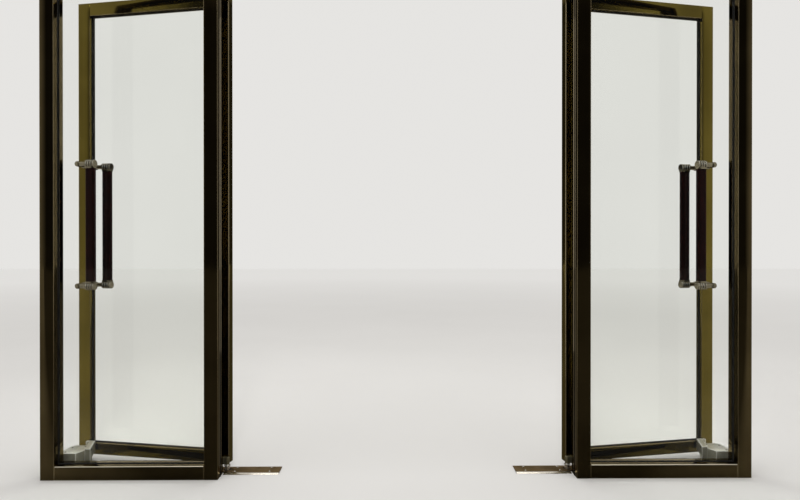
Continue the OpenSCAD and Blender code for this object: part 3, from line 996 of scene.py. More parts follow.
@dataclass
class ScreenFrame(Part):
    """Jambs, door posts, head rails, sills and the seals in the posts."""

    sill_arris: float = 0.0030
    seal_proud: float = 0.0015

    def uprights(self) -> None:
        """Models a jamb and a door post, whose doorway side has a groove for the weather seal."""
        s, half = self.screen, self.screen.member / 2
        back, wide, deep = s.back_y, s.groove_half, s.groove_d
        foot, head = s.member - deep, s.clear_h + deep

        low, high = (s.side_x - s.member, -back, 0), (s.side_x, back, s.top)
        jamb = self.bronze("left_jamb_bar", low, high, self.finishes.upright)
        jamb.sink((1, 0, 0), (s.side_x - deep, -wide, foot), (s.side_x, wide, head))
        jamb.fit_pair(False, "frame_bronze", "jamb")

        post = self.bronze("left_post_bar", (-half, -back, 0), (half, back, s.top), self.finishes.upright)
        post.sink((-1, 0, 0), (-half, -wide, foot), (-half + deep, wide, head))
        post.sink((1, 0, 0), (half - s.seal_d, -s.seal_w / 2, 0), (half, s.seal_w / 2, s.clear_h))
        post.fit_pair(False, "frame_bronze", "post")

    def rails(self) -> None:
        """Models the head rails, and a sill whose long upper edges are painted near-white, wear lifted into a painted
        highlight.
        """
        s, half, lying = self.screen, self.screen.member / 2, self.finishes.lying
        back, wide, deep = s.back_y, s.groove_half, s.groove_d
        start, end = s.side_x - SMALL, -half + SMALL

        rail = self.bronze("left_head_bar", (s.side_x, -back, s.clear_h), (-half, back, s.top), lying)
        rail.sink((0, 0, -1), (start, -wide, s.clear_h), (end, wide, s.clear_h + deep))
        rail.fit_pair(False, "frame_bronze", "head_rail")
        low, high = (half, -back, s.clear_h), (half + s.clear_w, back, s.top)
        self.bronze("middle_head_bar", low, high, lying).fit("frame", "frame_bronze", "middle_head_rail")

        sill = Piece.block("left_sill_bar", (s.side_x, -back, 0), (-half, back, s.member))
        # The sill's rounded edges get the near-white painted highlight; its ends and lower edges get the plain arris
        # finish.
        sill.dress(lying, self.finishes.sill_arris, self.finishes.arris).soften(self.sill_arris, segments=4, paint=1)
        sill.paint(2, lambda at, normal: abs(normal.x) > TILTED or at.z < half and normal.z < -TILTED)
        sill.sink((0, 0, 1), (start, -wide, s.member - deep), (end, wide, s.member))
        sill.fit_pair(False, "frame_bronze", "sill")

    def build(self) -> None:
        """Models every member and the posts' twin-finned weather seals."""
        self.uprights()
        self.rails()
        seal = self.seal("left_post_seal_strip", self.screen.member / 2, self.seal_proud, 0, self.screen.clear_h)
        seal.fit_pair(False, "seal", "post_seal")


@dataclass
class Glazing(Part):
    """Panes and gaskets of the sidelights and the doors."""

    round_lip: float = 0.0014

    def panes(self) -> None:
        """Gives the four panes their glass."""
        for name in ("left_sidelight_glass", "right_sidelight_glass", "left_door_glass", "right_door_glass"):
            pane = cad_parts[name]
            pane.data.materials.clear()
            pane.data.materials.append(self.finishes.glass)
            LOG.info("%s: glass", name)

    def ring(self, name: str, low: Vector, high: Vector) -> Piece:
        """Models one flat gasket ring with a rounded inner lip, in an upright plane across y.

        Args:
            name: Name of the piece.
            low: Lowest corner of the ring.
            high: Highest corner of the ring.

        Returns:
            The ring.
        """
        border = self.screen.bite + self.screen.lip

        def margin(at: Vector) -> float:
            """Distance from a point to the nearest of the ring's four sides."""
            return min(min(at[axis] - low[axis], high[axis] - at[axis]) for axis in (0, 2))

        ring = Piece.block(name, low, high)
        with ring.shaping():
            for way in (-1, 1):
                ring.take(lambda at, normal: normal.y * way > FACING)
                bpy.ops.mesh.inset(thickness=border)
            ring.take(lambda at, normal: abs(normal.y) > FACING and margin(at) > border + SMALL)
            bpy.ops.mesh.bridge_edge_loops()
        return ring.outward().round_edges(
            lambda at, way: abs(way.y) < TILTED and 2 * SMALL < margin(at) < border + 2 * SMALL, self.round_lip, 3
        )

    def rings(self, name: str, low: tuple[float, float], high: tuple[float, float], glass_t: float) -> Piece:
        """Models the gasket rings on both faces of a pane.

        Args:
            name: Name of the piece.
            low: Lowest x and z of the daylight opening.
            high: Highest x and z of the daylight opening.
            glass_t: Thickness of the glass.

        Returns:
            Both rings as one piece.
        """
        bite, thick = self.screen.bite, self.screen.gasket_t
        front, back = (
            self.ring(
                name + mark, Vector((low[0] - bite, near, low[1] - bite)),
                Vector((high[0] + bite, near + thick, high[1] + bite)),
            )
            for mark, near in (("", -glass_t / 2 - thick), ("_back", glass_t / 2))
        )
        return front.join(back).dress(self.finishes.rubber)

    def build(self) -> None:
        """Models the gaskets and dresses the panes."""
        s, d = self.screen, self.leaf
        self.panes()
        low, high = (s.side_x, s.member), (-s.member / 2, s.clear_h)
        fixed = self.rings("left_sidelight_gasket_rings", low, high, s.glass_t)
        fixed.fit_pair(False, "gasket", "sidelight_gasket")
        low, high = (d.heel_w, d.sight_low), (d.length - d.lead_w, d.sight_high)
        moving = self.rings("left_door_gasket_rings", low, high, d.glass_t)
        moving.place(d.at_rest).fit_pair(True, "gasket", "door_gasket")


# ---- The doors ----


@dataclass
class DoorLeaf(Part):
    """Stiles, rails and shoes of a door, modelled on the left one."""

    groove_half: float = 0.009
    groove_d: float = 0.015
    meeting_proud: float = 0.006
    shoe_h: float = 0.034
    shoe_l: float = 0.030
    shoe_r: float = 0.011
    shoe_ease: float = 0.0014
    screw: Screw = Screw(0.0040, 0.0011, 0.0012, 0.86, 0.64)
    screw_in: float = 0.009

    def stiles(self) -> None:
        """Models the heel stile with its rounded corners, the stile at the meeting edge and its seal."""
        s, d, half, wide, deep = self.screen, self.leaf, self.leaf.half, self.groove_half, self.groove_d
        low, high = d.sight_low, d.sight_high
        upright = self.finishes.leaf_upright_painted_lit
        heel = Piece.block("left_heel_bar", (0, -half, d.foot), (d.heel_w, half, d.top))
        heel.dress(upright, self.finishes.arris)
        # The heel's rounded corners are painted in the lighter arris bronze: a painted highlight line down the heel.
        heel.round_edges(lambda at, way: abs(way.z) > FACING and at.x < SMALL, d.heel_round, 8, 1)
        heel.soften(s.arris, paint=1)
        heel.sink((1, 0, 0), (d.heel_w - deep, -wide, low - deep), (d.heel_w, wide, high + deep))
        heel.place(d.at_rest).fit_pair(True, "door_bronze", "heel_stile")

        inner = d.length - d.lead_w
        lead = self.bronze("left_lead_bar", (inner, -half, d.foot), (d.length, half, d.top), upright)
        lead.slice((0, 0, low), (0, 0, 1)).slice((0, 0, high), (0, 0, 1))
        # Above and below the pane the inner edge goes back to plain bronze, without the painted arris highlight.
        lead.paint(0, lambda at, normal: at.x < inner + s.arris and not low < at.z < high)
        lead.sink((-1, 0, 0), (inner, -wide, low - deep), (inner + deep, wide, high + deep))
        lead.sink((1, 0, 0), (d.length - s.seal_d, -s.seal_w / 2, d.foot), (d.length, s.seal_w / 2, d.top))
        lead.place(d.at_rest).fit_pair(True, "door_bronze", "lead_stile")
        seal = self.seal("left_meeting_seal_strip", d.length, self.meeting_proud, d.foot, d.top)
        seal.place(d.at_rest).fit_pair(True, "seal", "meeting_seal")

    def rails(self) -> None:
        """Models the top and bottom rails."""
        d, wide, deep, lying = self.leaf, self.groove_half, self.groove_d, self.finishes.leaf_lying_painted_lit
        start, end = d.heel_w, d.length - d.lead_w
        for name, low, high, way in (("top_rail", d.sight_high, d.top, -1), ("bottom_rail", d.foot, d.sight_low, 1)):
            rail = self.bronze(f"left_{name}_bar", (start, -d.half, low), (end, d.half, high), lying["left"])
            # The rail ends lose the painted arris highlight where they meet the stiles.
            rail.paint(0, lambda at, normal: abs(normal.x) > TILTED)
            mouth = (low, low + deep) if way < 0 else (high - deep, high)
            rail.sink((0, 0, way), (start - SMALL, -wide, mouth[0]), (end + SMALL, wide, mouth[1]))
            rail.place(d.at_rest).fit_pair(True, "door_bronze", name, other=lying["right"])

    def shoes(self) -> None:
        """Models the pivot shoes on the door's face, at the foot and the top of the heel, with their screws."""
        d, inset = self.leaf, self.screw_in
        shoe = self.round_bar("left_heel_shoes", self.shoe_r, self.shoe_l, d.foot, d.foot + self.shoe_h)
        shoe.slice((0, -d.offset, 0), (0, -1, 0), drop=True)
        shoe.dress(self.finishes.olive).soften(self.shoe_ease, angle=30)
        both = (Matrix(), shift(0, 0, d.top - self.shoe_h - d.foot))
        shoe.repeat(both)
        spots = [
            shift(self.shoe_l - inset, self.shoe_r, d.foot + rise) @ spin("X", -QUARTER)
            for rise in (inset, self.shoe_h - inset)
        ]
        screws = self.screw.heads("left_shoe_screws", spots).repeat(both).dress(self.finishes.steel)
        shoe.place(d.on_pivot).fit_pair(True, "shoe_cast", "pivot_shoes")
        screws.place(d.on_pivot).fit_pair(True, "pin_steel")

    def build(self) -> None:
        """Models the whole leaf but its glass and handles."""
        self.stiles()
        self.rails()
        self.shoes()


@dataclass
class PullHandles(Part):
    """Back-to-back offset pull handles of a door, modelled on the left one."""

    grip_z: float = 0.929
    grip_l: float = 0.577
    grip_w: float = 0.050
    grip_t: float = 0.024
    grip_in: float = 0.104
    grip_out: float = 0.044
    grip_cuts: int = 12
    edge: float = 0.008
    seam_w: float = 0.0012
    seam_end: float = 0.006
    stitch: Steps = ((0.0, 0.00025), (0.0004, 0.00055), (0.0042, 0.00055), (0.0046, 0.00025))
    stitch_pitch: float = 0.0075
    stitch_row: float = 0.0032
    stitch_proud: float = 0.0001
    stitch_lean: float = math.radians(14)
    first_stitch: float = 0.003
    next_stitch: float = 0.008
    collar_h: float = 0.007
    collar_lip: float = 0.002
    collar_lap: float = 0.002
    collar_ease: float = 0.0009
    barrel_r: float = 0.020
    barrel_dish: Steps = ((0.0, 0.62), (-0.0012, 0.55))
    ring_cut: float = 0.003
    ring_gap: float = 0.004
    ring_ease: float = 0.0014
    rings: int = 4
    arm_r: float = 0.011
    arm_start: float = 0.6
    arm_ring: Steps = ((0, 0), (0, 0.003), (0.0012, 0.0036), (0.0028, 0.0036), (0.004, 0.002), (0.0055, 0))
    rose_r: float = 0.018
    rose_t: float = 0.005
    rose_rim: Steps = ((-0.0018, 0), (-0.0006, -0.0008), (0, -0.0024))
    rose_fillet: Steps = ((0, 0.0022), (0.0008, 0.0005), (0.002, 0))
    hub_r: float = 0.014
    hub_ring: Steps = (
        (0, -0.001), (0.001, 0), (0.005, 0), (0.0056, -0.0008), (0.0066, -0.0008), (0.0072, 0)
    )
    hub_crown: Steps = ((-0.004, 0), (-0.0025, -0.0009), (-0.0009, -0.003), (0, -0.006))

    @property
    def grip_x(self) -> float:
        """Middle of a grip from the heel edge."""
        return self.leaf.length - self.grip_in

    @property
    def grip_y(self) -> float:
        """Middle of a grip from the door's mid-plane."""
        return self.leaf.half + self.grip_out

    @property
    def grip_top(self) -> float:
        """Height of a grip's upper end."""
        return self.grip_z + self.grip_l

    @property
    def rise(self) -> float:
        """Height of a barrel's middle beyond the grip's end."""
        return self.collar_h + self.barrel_r - self.ring_cut

    def slab(self, name: str, side: int, low: float, high: float, lip: float, segments: int) -> Piece:
        """Models a flat bar round a grip's middle line, with rounded upright edges.

        Args:
            name: Name of the piece.
            side: 1 for the inner face of the door and -1 for the outer.
            low: Height of its foot.
            high: Height of its top.
            lip: How far it stands out from the grip.
            segments: Faces across each rounding.

        Returns:
            The bar.
        """
        x, y = self.grip_x, side * self.grip_y
        wide, thick = self.grip_w / 2 + lip, self.grip_t / 2 + lip
        slab = Piece.block(name, (x - wide, y - thick, low), (x + wide, y + thick, high))
        return slab.round_edges(lambda at, way: abs(way.z) > FACING, self.edge, segments)

    def grip(self, label: str, side: int) -> None:
        """Models a leather grip and its stitched seam.

        Args:
            label: inner or outer.
            side: 1 for the inner face of the door and -1 for the outer.
        """
        x, low = self.grip_x, self.grip_z
        body = self.slab(f"left_{label}_grip_hide", side, low, self.grip_top, 0.0, 8)
        for step in range(1, self.grip_cuts):
            body.slice((0, 0, low + self.grip_l * step / self.grip_cuts), (0, 0, 1))
        seam_y = side * (self.grip_y - self.grip_t / 2)
        near, far = sorted((seam_y, seam_y + side * self.seam_w))
        half = self.seam_w / 2
        body.sink((0, -side, 0), (x - half, near, low - SMALL), (x + half, far, self.grip_top + SMALL))
        body.dress(self.finishes.leather).place(self.leaf.at_rest).fit_pair(True, "grip_leather", f"{label}_grip")

        y = seam_y - side * self.stitch_proud
        spots = [shift(x - self.stitch_row, y, low + self.first_stitch)]
        for way in (-1, 1):
            lean = spin("Y", way * self.stitch_lean)
            for number in range(int((self.grip_l - 2 * self.seam_end) / self.stitch_pitch)):
                height = low + self.next_stitch + number * self.stitch_pitch
                spots.append(shift(x + way * self.stitch_row, y, height) @ lean)
        row = Piece.turned(f"left_{label}_grip_stitches", self.stitch, sides=6).repeat(spots)
        row.dress(self.finishes.thread).place(self.leaf.at_rest).fit_pair(True, "grip_leather")

    def barrel(self, name: str) -> Piece:
        """Models a ringed barrel about the z axis, centred at the origin.

        Args:
            name: Name of the piece.

        Returns:
            The barrel, with grooves painted dark as shade and ring edges painted in light steel as highlights.
        """
        half, outer, inner = self.grip_w / 2, self.barrel_r, self.barrel_r - self.ring_cut
        land = (self.grip_w - (self.rings - 1) * self.ring_gap) / self.rings
        dish = [(half + up, share * outer) for up, share in self.barrel_dish]
        steps = [(-height, radius) for height, radius in reversed(dish)]
        for ring in range(self.rings):
            at = -half + ring * (land + self.ring_gap)
            if ring:
                steps += [(at - self.ring_gap, inner), (at, inner)]
            steps += steps_at(at, outer, (0, -self.ring_ease), (self.ring_ease, 0))
            steps += steps_at(at + land, outer, (-self.ring_ease, 0), (0, -self.ring_ease))
        barrel = Piece.turned(name, steps + dish, sides=56)
        barrel.dress(self.finishes.pull, self.finishes.groove, self.finishes.steel)
        floor, land_r = self.barrel_dish[0][1] * outer, (inner + outer) / 2
        # Groove floors and walls get the near-black groove finish: painted shade.
        barrel.paint(1, lambda at, normal: abs(normal.z) < 0.5 and floor < at.xy.length < land_r)
        # Ring edges get the light steel: a painted highlight on each ring.
        return barrel.paint(2, lambda at, normal: 0.3 < abs(normal.z) < FACING and at.xy.length > inner)

    def bracket(self, label: str, side: int, spot: str, height: float, up: bool) -> None:
        """Models one handle arm with its rose, post, hub, barrel and collar.

        Args:
            label: inner or outer.
            side: 1 for the inner face of the door and -1 for the outer.
            spot: low or high.
            height: Height of the arm's axis.
            up: True if the grip stands above this arm.
        """
        d, arm_r, base = self.leaf, self.arm_r, f"left_{label}_{spot}"
        stile_x, half = d.length - d.lead_w / 2, self.grip_w / 2
        along = shift(self.grip_x, side * self.grip_y, height) @ spin("Y", QUARTER)
        hub_low, hub_high = self.grip_out - self.hub_r, self.grip_out + self.hub_r
        post = Piece.turned(f"{base}_arm", [
            (0, self.rose_r), *steps_at(self.rose_t, self.rose_r, *self.rose_rim),
            *steps_at(self.rose_t, arm_r, *self.rose_fillet), (hub_low, arm_r),
            *steps_at(hub_low, self.hub_r, *self.hub_ring), *steps_at(hub_high, self.hub_r, *self.hub_crown),
        ], sides=48).place(shift(stile_x, side * d.half, height) @ spin("X", -side * QUARTER))
        arm = Piece.turned(f"{base}_arm_bar", [
            (self.arm_start * half, arm_r), *steps_at(half, arm_r, *self.arm_ring), (stile_x - self.grip_x, arm_r),
        ], sides=48).place(along)
        post.join(arm).dress(self.finishes.pull).place(d.at_rest).fit_pair(True, "pull_metal")
        self.barrel(f"{base}_barrel").place(d.at_rest @ along).fit_pair(True, "pull_metal")

        near = height + (self.rise - self.collar_h - self.collar_lap if up else -self.rise)
        far = near + self.collar_h + self.collar_lap
        collar = self.slab(f"{base}_collar", side, near, far, self.collar_lip, 6)
        collar.soften(self.collar_ease, segments=2, angle=50).dress(self.finishes.pull)
        collar.place(d.at_rest).fit_pair(True, "pull_metal")

    def build(self) -> None:
        """Models both handles of the left door and their twins."""
        for label, side in (("inner", 1), ("outer", -1)):
            self.grip(label, side)
            self.bracket(label, side, "low", self.grip_z - self.rise, True)
            self.bracket(label, side, "high", self.grip_top + self.rise, False)
        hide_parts("left_pull_arms")
        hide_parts("right_pull_arms")


# ---- Fittings on the frame ----


@dataclass
class FloorPivot(Part):
    """Cover plate, spindle and screws at the foot of a door."""

    plate_l: float = 0.305
    plate_end: float = 0.042
    front: float = 0.062
    rear: float = 0.050
    thick: float = 0.005
    edge_t: float = 0.001
    bevel: float = 0.016
    plate_ease: float = 0.0004
    post_gap: float = 0.006
    ring_r: float = 0.018
    ring_sink: float = 0.002
    countersink: Steps = ((-0.0014, 0.0050), (0.0004, 0.0062))
    neck_r: float = 0.0115
    neck_z: float = 0.0125
    neck_groove: Steps = ((0, 0), (0.0005, -0.0009), (0.0017, -0.0009), (0.0022, 0))
    lip_r: float = 0.015
    lip_h: float = 0.005
    lip_rise: float = 0.0016
    lip_foot: float = 0.0012
    lip_top: float = 0.0008
    tenon_r: float = 0.008
    tenon_end: Steps = ((0.018, 0), (0.020, -0.001))
    shoulder_z: float = 0.028
    screw: Screw = Screw(0.0048, 0.0010, 0.0013, 0.5, 1.1)
    screw_near: float = 0.043
    screw_span: float = 0.170
    screw_pitch: float = 0.054

    @property
    def screw_spots(self) -> list[tuple[float, float]]:
        """Places of the four screws from the pivot line."""
        half = self.screw_pitch / 2
        return [(x, y) for x in (self.screw_near, self.screw_near + self.screw_span) for y in (-half, half)]

    def plate(self) -> None:
        """Models the notched cover plate with bevelled long edges painted pale as a highlight, a sunk ring and
        countersinks.
        """
        d, s, front, rear, thick = self.leaf, self.screen, self.front, self.rear, self.thick
        notch_x = s.member / 2 + self.post_gap - d.pivot_x
        notch_y = s.back_y + self.post_gap - d.pivot_y
        plate = Piece.block("left_cover_plate", (notch_x, -front, 0), (self.plate_l - self.plate_end, rear, thick))
        for at in (self.bevel - front, notch_y, rear - self.bevel):
            plate.slice((0, at, 0), (0, 1, 0))

        def long_edge(at: Vector, way: Vector) -> bool:
            """True for the plate's two long upper edges."""
            return abs(way.x) > FACING and at.z > thick - SMALL and not SMALL - front <= at.y <= rear - SMALL

        with plate.shaping():
            plate.take_edges(long_edge)
            bpy.ops.transform.translate(value=(0, 0, self.edge_t - thick))
        plate.push(lambda at, normal: normal.x < -FACING and at.y > notch_y, (-self.plate_end - notch_x, 0, 0))
        plate.outward().dress(self.finishes.plate, self.finishes.plate_edge_highlight)
        # The forward bevel is painted in pale steel: a painted highlight of the bright room above.
        plate.paint(1, lambda at, normal: 0.5 < normal.z < 0.995 and at.y < 0)
        sunk = steps_at(thick, self.ring_r, (-self.ring_sink, 0), (self.ring_sink, 0))
        ring = Piece.turned("ring_cutter", sunk, sides=64)
        plate.carve(ring, *[
            Piece.turned(f"sink_cutter_{number}", steps_at(thick, 0, *self.countersink)).place(shift(*spot, 0))
            for number, spot in enumerate(self.screw_spots)
        ])
        # The small rounded edges get the same painted highlight.
        plate.soften(self.plate_ease, segments=2, angle=50, paint=1)
        plate.place(d.over_pivot).fit_pair(False, "floor_plate", "floor_pivot")

    def spindle(self) -> None:
        """Models the polished neck with its lip, the tenon that turns in the shoe, and the ring round its foot."""
        d, r, lip, top = self.leaf, self.neck_r, self.lip_r, self.shoulder_z
        floor, under = self.thick - self.ring_sink, self.shoulder_z - self.lip_h
        neck = Piece.turned("left_floor_spindle", [
            (floor - 0.0004, r), *steps_at(self.neck_z, r, *self.neck_groove), (under - self.lip_rise, r),
            (under, lip - self.lip_foot), (under + self.lip_foot, lip), (top - self.lip_top, lip),
            (top, lip - self.lip_top), (top, self.tenon_r), *steps_at(d.foot, self.tenon_r, *self.tenon_end),
        ], sides=64)
        neck.dress(self.finishes.neck).place(d.over_pivot).fit_pair(False, "floor_plate")
        ring = Piece.turned("left_pivot_ring", [
            *steps_at(floor, self.ring_r, (-0.0003, -0.0002), (0.0003, -0.0004)),
            *steps_at(floor, r, (0.0003, 0.0016), (0, 0.0012)),
        ], sides=56)
        ring.dress(self.finishes.rubber).place(d.over_pivot).fit_pair(False, "seal")

    def build(self) -> None:
        """Models the fitting and its twin."""
        self.plate()
        self.spindle()
        spots = [shift(*spot, self.thick) for spot in self.screw_spots]
        screws = self.screw.heads("left_plate_screws", spots).dress(self.finishes.steel)
        screws.place(self.leaf.over_pivot).fit_pair(False, "pin_steel")


@dataclass
class HeadPivot(Part):
    """Flanged arm under the head, with its pin, collar and screws."""

    arm_w: float = 0.046
    arm_h: float = 0.025
    arm_ease: float = 0.0012
    flange: Triple = (0.074, 0.007, 0.080)
    pin_r: float = 0.007
    pin_foot: Steps = ((0, -0.001), (0.001, 0))
    pin_top: Steps = ((-0.0006, 0), (-0.0003, -0.0006))
    pin_reach: float = 0.020
    collar_r: float = 0.012
    collar_t: float = 0.003
    collar_foot: Steps = ((0, -0.0007), (0.0007, 0))
    collar_top: Steps = ((-0.0005, 0), (0, -0.0006))
    screw: Screw = Screw(0.0048, 0.0012, 0.0013, 0.4)
    screw_x: float = 0.028
    screw_z: tuple[float, float] = (0.036, 0.068)

    def build(self) -> None:
        """Models the fitting and its twin."""
        d, top, lying = self.leaf, self.screen.clear_h, self.finishes.lying
        low, back = top - self.arm_h, d.pivot_y - self.screen.back_y
        arm = self.round_bar("left_pivot_bracket", self.arm_w / 2, back, low, top).place(spin("Z", -QUARTER))
        arm.dress(lying, self.finishes.arris).soften(self.arm_ease, paint=1)
        wide, thick, tall = self.flange
        near, far = (-wide / 2, -back, low), (wide / 2, thick - back, low + tall)
        flange = self.bronze("left_pivot_flange", near, far, lying, self.arm_ease)
        arm.join(flange).place(d.over_pivot).fit_pair(False, "frame_bronze", "pivot_arm")

        spots = [
            shift(x, thick - back, low + z) @ spin("X", -QUARTER)
            for z in self.screw_z for x in (-self.screw_x, self.screw_x)
        ]
        screws = self.screw.heads("left_flange_screws", spots).dress(self.finishes.steel)
        screws.place(d.over_pivot).fit_pair(False, "pin_steel")

        under = low - self.collar_t
        pin = Piece.turned("left_head_pin", [
            *steps_at(d.top - self.pin_reach, self.pin_r, *self.pin_foot), (under, self.pin_r),
            *steps_at(under, self.collar_r, *self.collar_foot), *steps_at(low, self.collar_r, *self.collar_top),
            (low, self.pin_r), *steps_at(top, self.pin_r, *self.pin_top),
        ], sides=56)
        pin.dress(self.finishes.steel).place(d.over_pivot).fit_pair(False, "pin_steel", "pivot_pin")


@dataclass
class DoorHolder(Part):
    """Cast holder behind the frame, with the catch that reaches the open door."""

    catch_in: float = 0.078
    catch_gap: float = 0.006
    catch_h: float = 0.106
    catch_under: float = 0.048
    catch_reach: float = 0.092
    catch_w: float = 0.028
    catch_ease: float = 0.0024
    nose_w: float = 0.046
    wide: float = 0.098
    high: float = 0.100
    room: float = 0.070
    side: float = 0.032
    cut: float = 0.019
    shoulder: float = 0.050
    case_ease: float = 0.0026
    base_h: float = 0.012
    base_in: float = 0.004
    base_proud: float = 0.0006
    base_cuts: tuple[float, float] = (0.0008, 0.0009)
    pad_t: float = 0.004
    pad_in: Triple = (0.002, 0.001, 0.003)
    pad_ease: float = 0.0015
    bolt: Steps = ((-0.001, 0.0052), (0.0008, 0.0052), (0.0014, 0.0046), (0.0014, 0.0026), (0.0003, 0.0023))
    bolt_spots: Steps = ((-0.078, 0.020), (-0.078, 0.088), (-0.022, 0.108))
    pin: Steps = ((-0.002, 0.0062), (0.0007, 0.0062), (0.0011, 0.0056), (0.0011, 0.0044), (-0.0014, 0.0038))
    pin_share: float = 0.66
    pin_z: float = 0.091

    @property
    def catch(self) -> Vector:
        """Where the middle of the catch meets the face of the open door."""
        return self.leaf.at_rest @ Vector((self.leaf.length - self.catch_in, self.leaf.half, 0))

    def case(self, name: str, foot: float, top: float, proud: float, cuts: tuple[float, float]) -> Piece:
        """Models a block with the housing's outline, whose two corners are cut off.

        Args:
            name: Name of the piece.
            foot: Distance of its front from the frame.
            top: Height of its top.
            proud: How far it stands out from the housing at the sides and the rear.
            cuts: How far its two cuts stand out.

        Returns:
            The block.
        """
        back, inner, rear = self.screen.back_y, self.catch.x + self.side, self.catch.y - self.room
        outer = inner - self.wide
        case = Piece.block(name, (outer - proud, back + foot, 0), (inner + proud, rear + proud, top))
        case.slice((inner + cuts[0], back + self.shoulder, 0), (self.shoulder, -self.cut, 0), drop=True)
        return case.slice((outer, rear - self.cut + cuts[1], 0), (-1, 1, 0), drop=True)

    def housing(self) -> None:
        """Models the housing with its top painted lighter as lit from above, base line and fixing bolts."""
        cast, edge, painted_lit_top = self.finishes.cast, self.finishes.cast_edge, self.finishes.cast_painted_lit_top
        box = self.case("left_holder_housing", 0, self.high, 0, (0, 0))
        box.dress(cast, edge, painted_lit_top).soften(self.case_ease, angle=30, paint=1)
        # Top faces get the pale top finish: painted light, as if lit from above.
        box.paint(2, lambda at, normal: normal.z > FLAT).fit_pair(False, "holder_cast", "door_holder")
        base = self.case("left_holder_base", self.base_in, self.base_h, self.base_proud, self.base_cuts)
        base.dress(cast, edge).soften(self.base_proud, segments=2, angle=30, paint=1)
        base.fit_pair(False, "holder_cast")
        corner = shift(self.catch.x + self.side, self.screen.back_y, self.high)
        bolts = Piece.turned("left_holder_bolts", self.bolt)
        bolts.repeat([corner @ shift(x, y, 0) for x, y in self.bolt_spots]).dress(self.finishes.steel)
        bolts.fit_pair(False, "holder_cast")

    def arm(self) -> None:
        """Models the catch with its oblique arm, nose, rubber pad and pivot pin."""
        d, middle, half = self.leaf, self.catch, self.nose_w / 2
        inner, front = middle.x + half, middle.y - half
        slope = Vector((middle.x + self.side + self.catch_w - inner, self.screen.back_y + self.shoulder - front, 0))
        face = d.at_rest.to_3x3() @ Vector((0, 1, 0))
        low, high = (middle.x - half, front, self.catch_under), (inner, middle.y + half, self.catch_h)
        nose = Piece.block("left_holder_catch", low, high)
        nose.slice(middle + face * (self.catch_gap + self.pad_t), -face, drop=True)
        nose.slice((inner - self.catch_w, 0, 0), (1, 0, 0))
        nose.push(lambda at, normal: normal.y < -FACING and at.x > inner - self.catch_w, slope)
        foot_y = middle.y - self.catch_reach
        nose.slice((0, foot_y, 0), (0, 1, 0))
        nose.push(lambda at, normal: normal.z < -FACING and at.y < foot_y, (0, 0, -self.catch_under)).outward()
        nose.dress(self.finishes.cast, self.finishes.cast_edge, self.finishes.cast_painted_lit_top)
        # The catch's top faces get the same painted light from above.
        nose.soften(self.catch_ease, angle=25, paint=1).paint(2, lambda at, normal: normal.z > FLAT)
        nose.fit_pair(False, "holder_cast")

        (x, y, z), along, near = self.pad_in, d.length - self.catch_in, d.half + self.catch_gap
        low = (along - half + x, near, self.catch_under + z)
        high = (along + half - x, near + self.pad_t + y, self.catch_h - z)
        pad = Piece.block("left_catch_pad", low, high).soften(self.pad_ease)
        pad.dress(self.finishes.rubber).place(d.at_rest).fit_pair(False, "seal")

        way = slope.normalized()
        out = Vector((-way.y, way.x, 0)) if way.y < 0 else Vector((way.y, -way.x, 0))
        spot = Vector((inner, front, self.pin_z)) + slope * self.pin_share
        turn = out.to_track_quat("Z", "Y").to_matrix().to_4x4()
        pin = Piece.turned("left_catch_pin", self.pin).place(shift(*spot) @ turn)
        pin.dress(self.finishes.rubber).fit_pair(False, "pin_steel")

    def build(self) -> None:
        """Models the holder and its twin."""
        self.housing()
        self.arm()


@dataclass
class CentreStop(Part):
    """Stop under the middle of the head: dark block, bright plate, screws and buffers."""

    wide: float = 0.100
    deep: float = 0.034
    block_h: float = 0.024
    block_ease: float = 0.0016
    plate_h: float = 0.014
    plate_ease: float = 0.0014
    gap: float = 0.006
    screw: Screw = Screw(0.0044, 0.0011, 0.0012, 0.6)
    screw_x: float = 0.032
    screw_sink: float = 0.0006
    buffer: Steps = ((-0.002, 0.0085), (0.0006, 0.0085), (0.0014, 0.0078), (0.0018, 0.0062))
    buffer_x: float = 0.030
    buffer_z: float = 0.011

    def build(self) -> None:
        """Models the stop."""
        d, x, top, half = self.leaf, self.screen.centre_x, self.screen.clear_h, self.wide / 2
        far = d.pivot_y - d.offset - d.thickness - self.gap
        near, low = far - self.deep, top - self.block_h
        foot = low - self.plate_h
        corners = (x - half, near, low), (x + half, far, top)
        block = self.bronze("stop_block_bar", *corners, self.finishes.lying, self.block_ease)
        block.fit("frame", "frame_bronze", "stop_block")
        plate = Piece.block("stop_plate_bar", (x - half, near, foot), (x + half, far, low))
        plate.dress(self.finishes.steel).soften(self.plate_ease).fit("frame", "pin_steel", "stop_plate")
        middle_y, level = (near + far) / 2, foot + self.screw_sink
        spots = [shift(x + way * self.screw_x, middle_y, level) @ spin("X", math.pi) for way in (-1, 1)]
        self.screw.heads("stop_screws", spots).dress(self.finishes.steel).fit("frame", "pin_steel")
        spots = [shift(x + way * self.buffer_x, far, low + self.buffer_z) @ spin("X", -QUARTER) for way in (-1, 1)]
        buffers = Piece.turned("stop_buffers", self.buffer).repeat(spots)
        buffers.dress(self.finishes.rubber).fit("frame", "seal")


# ---- The studio ----


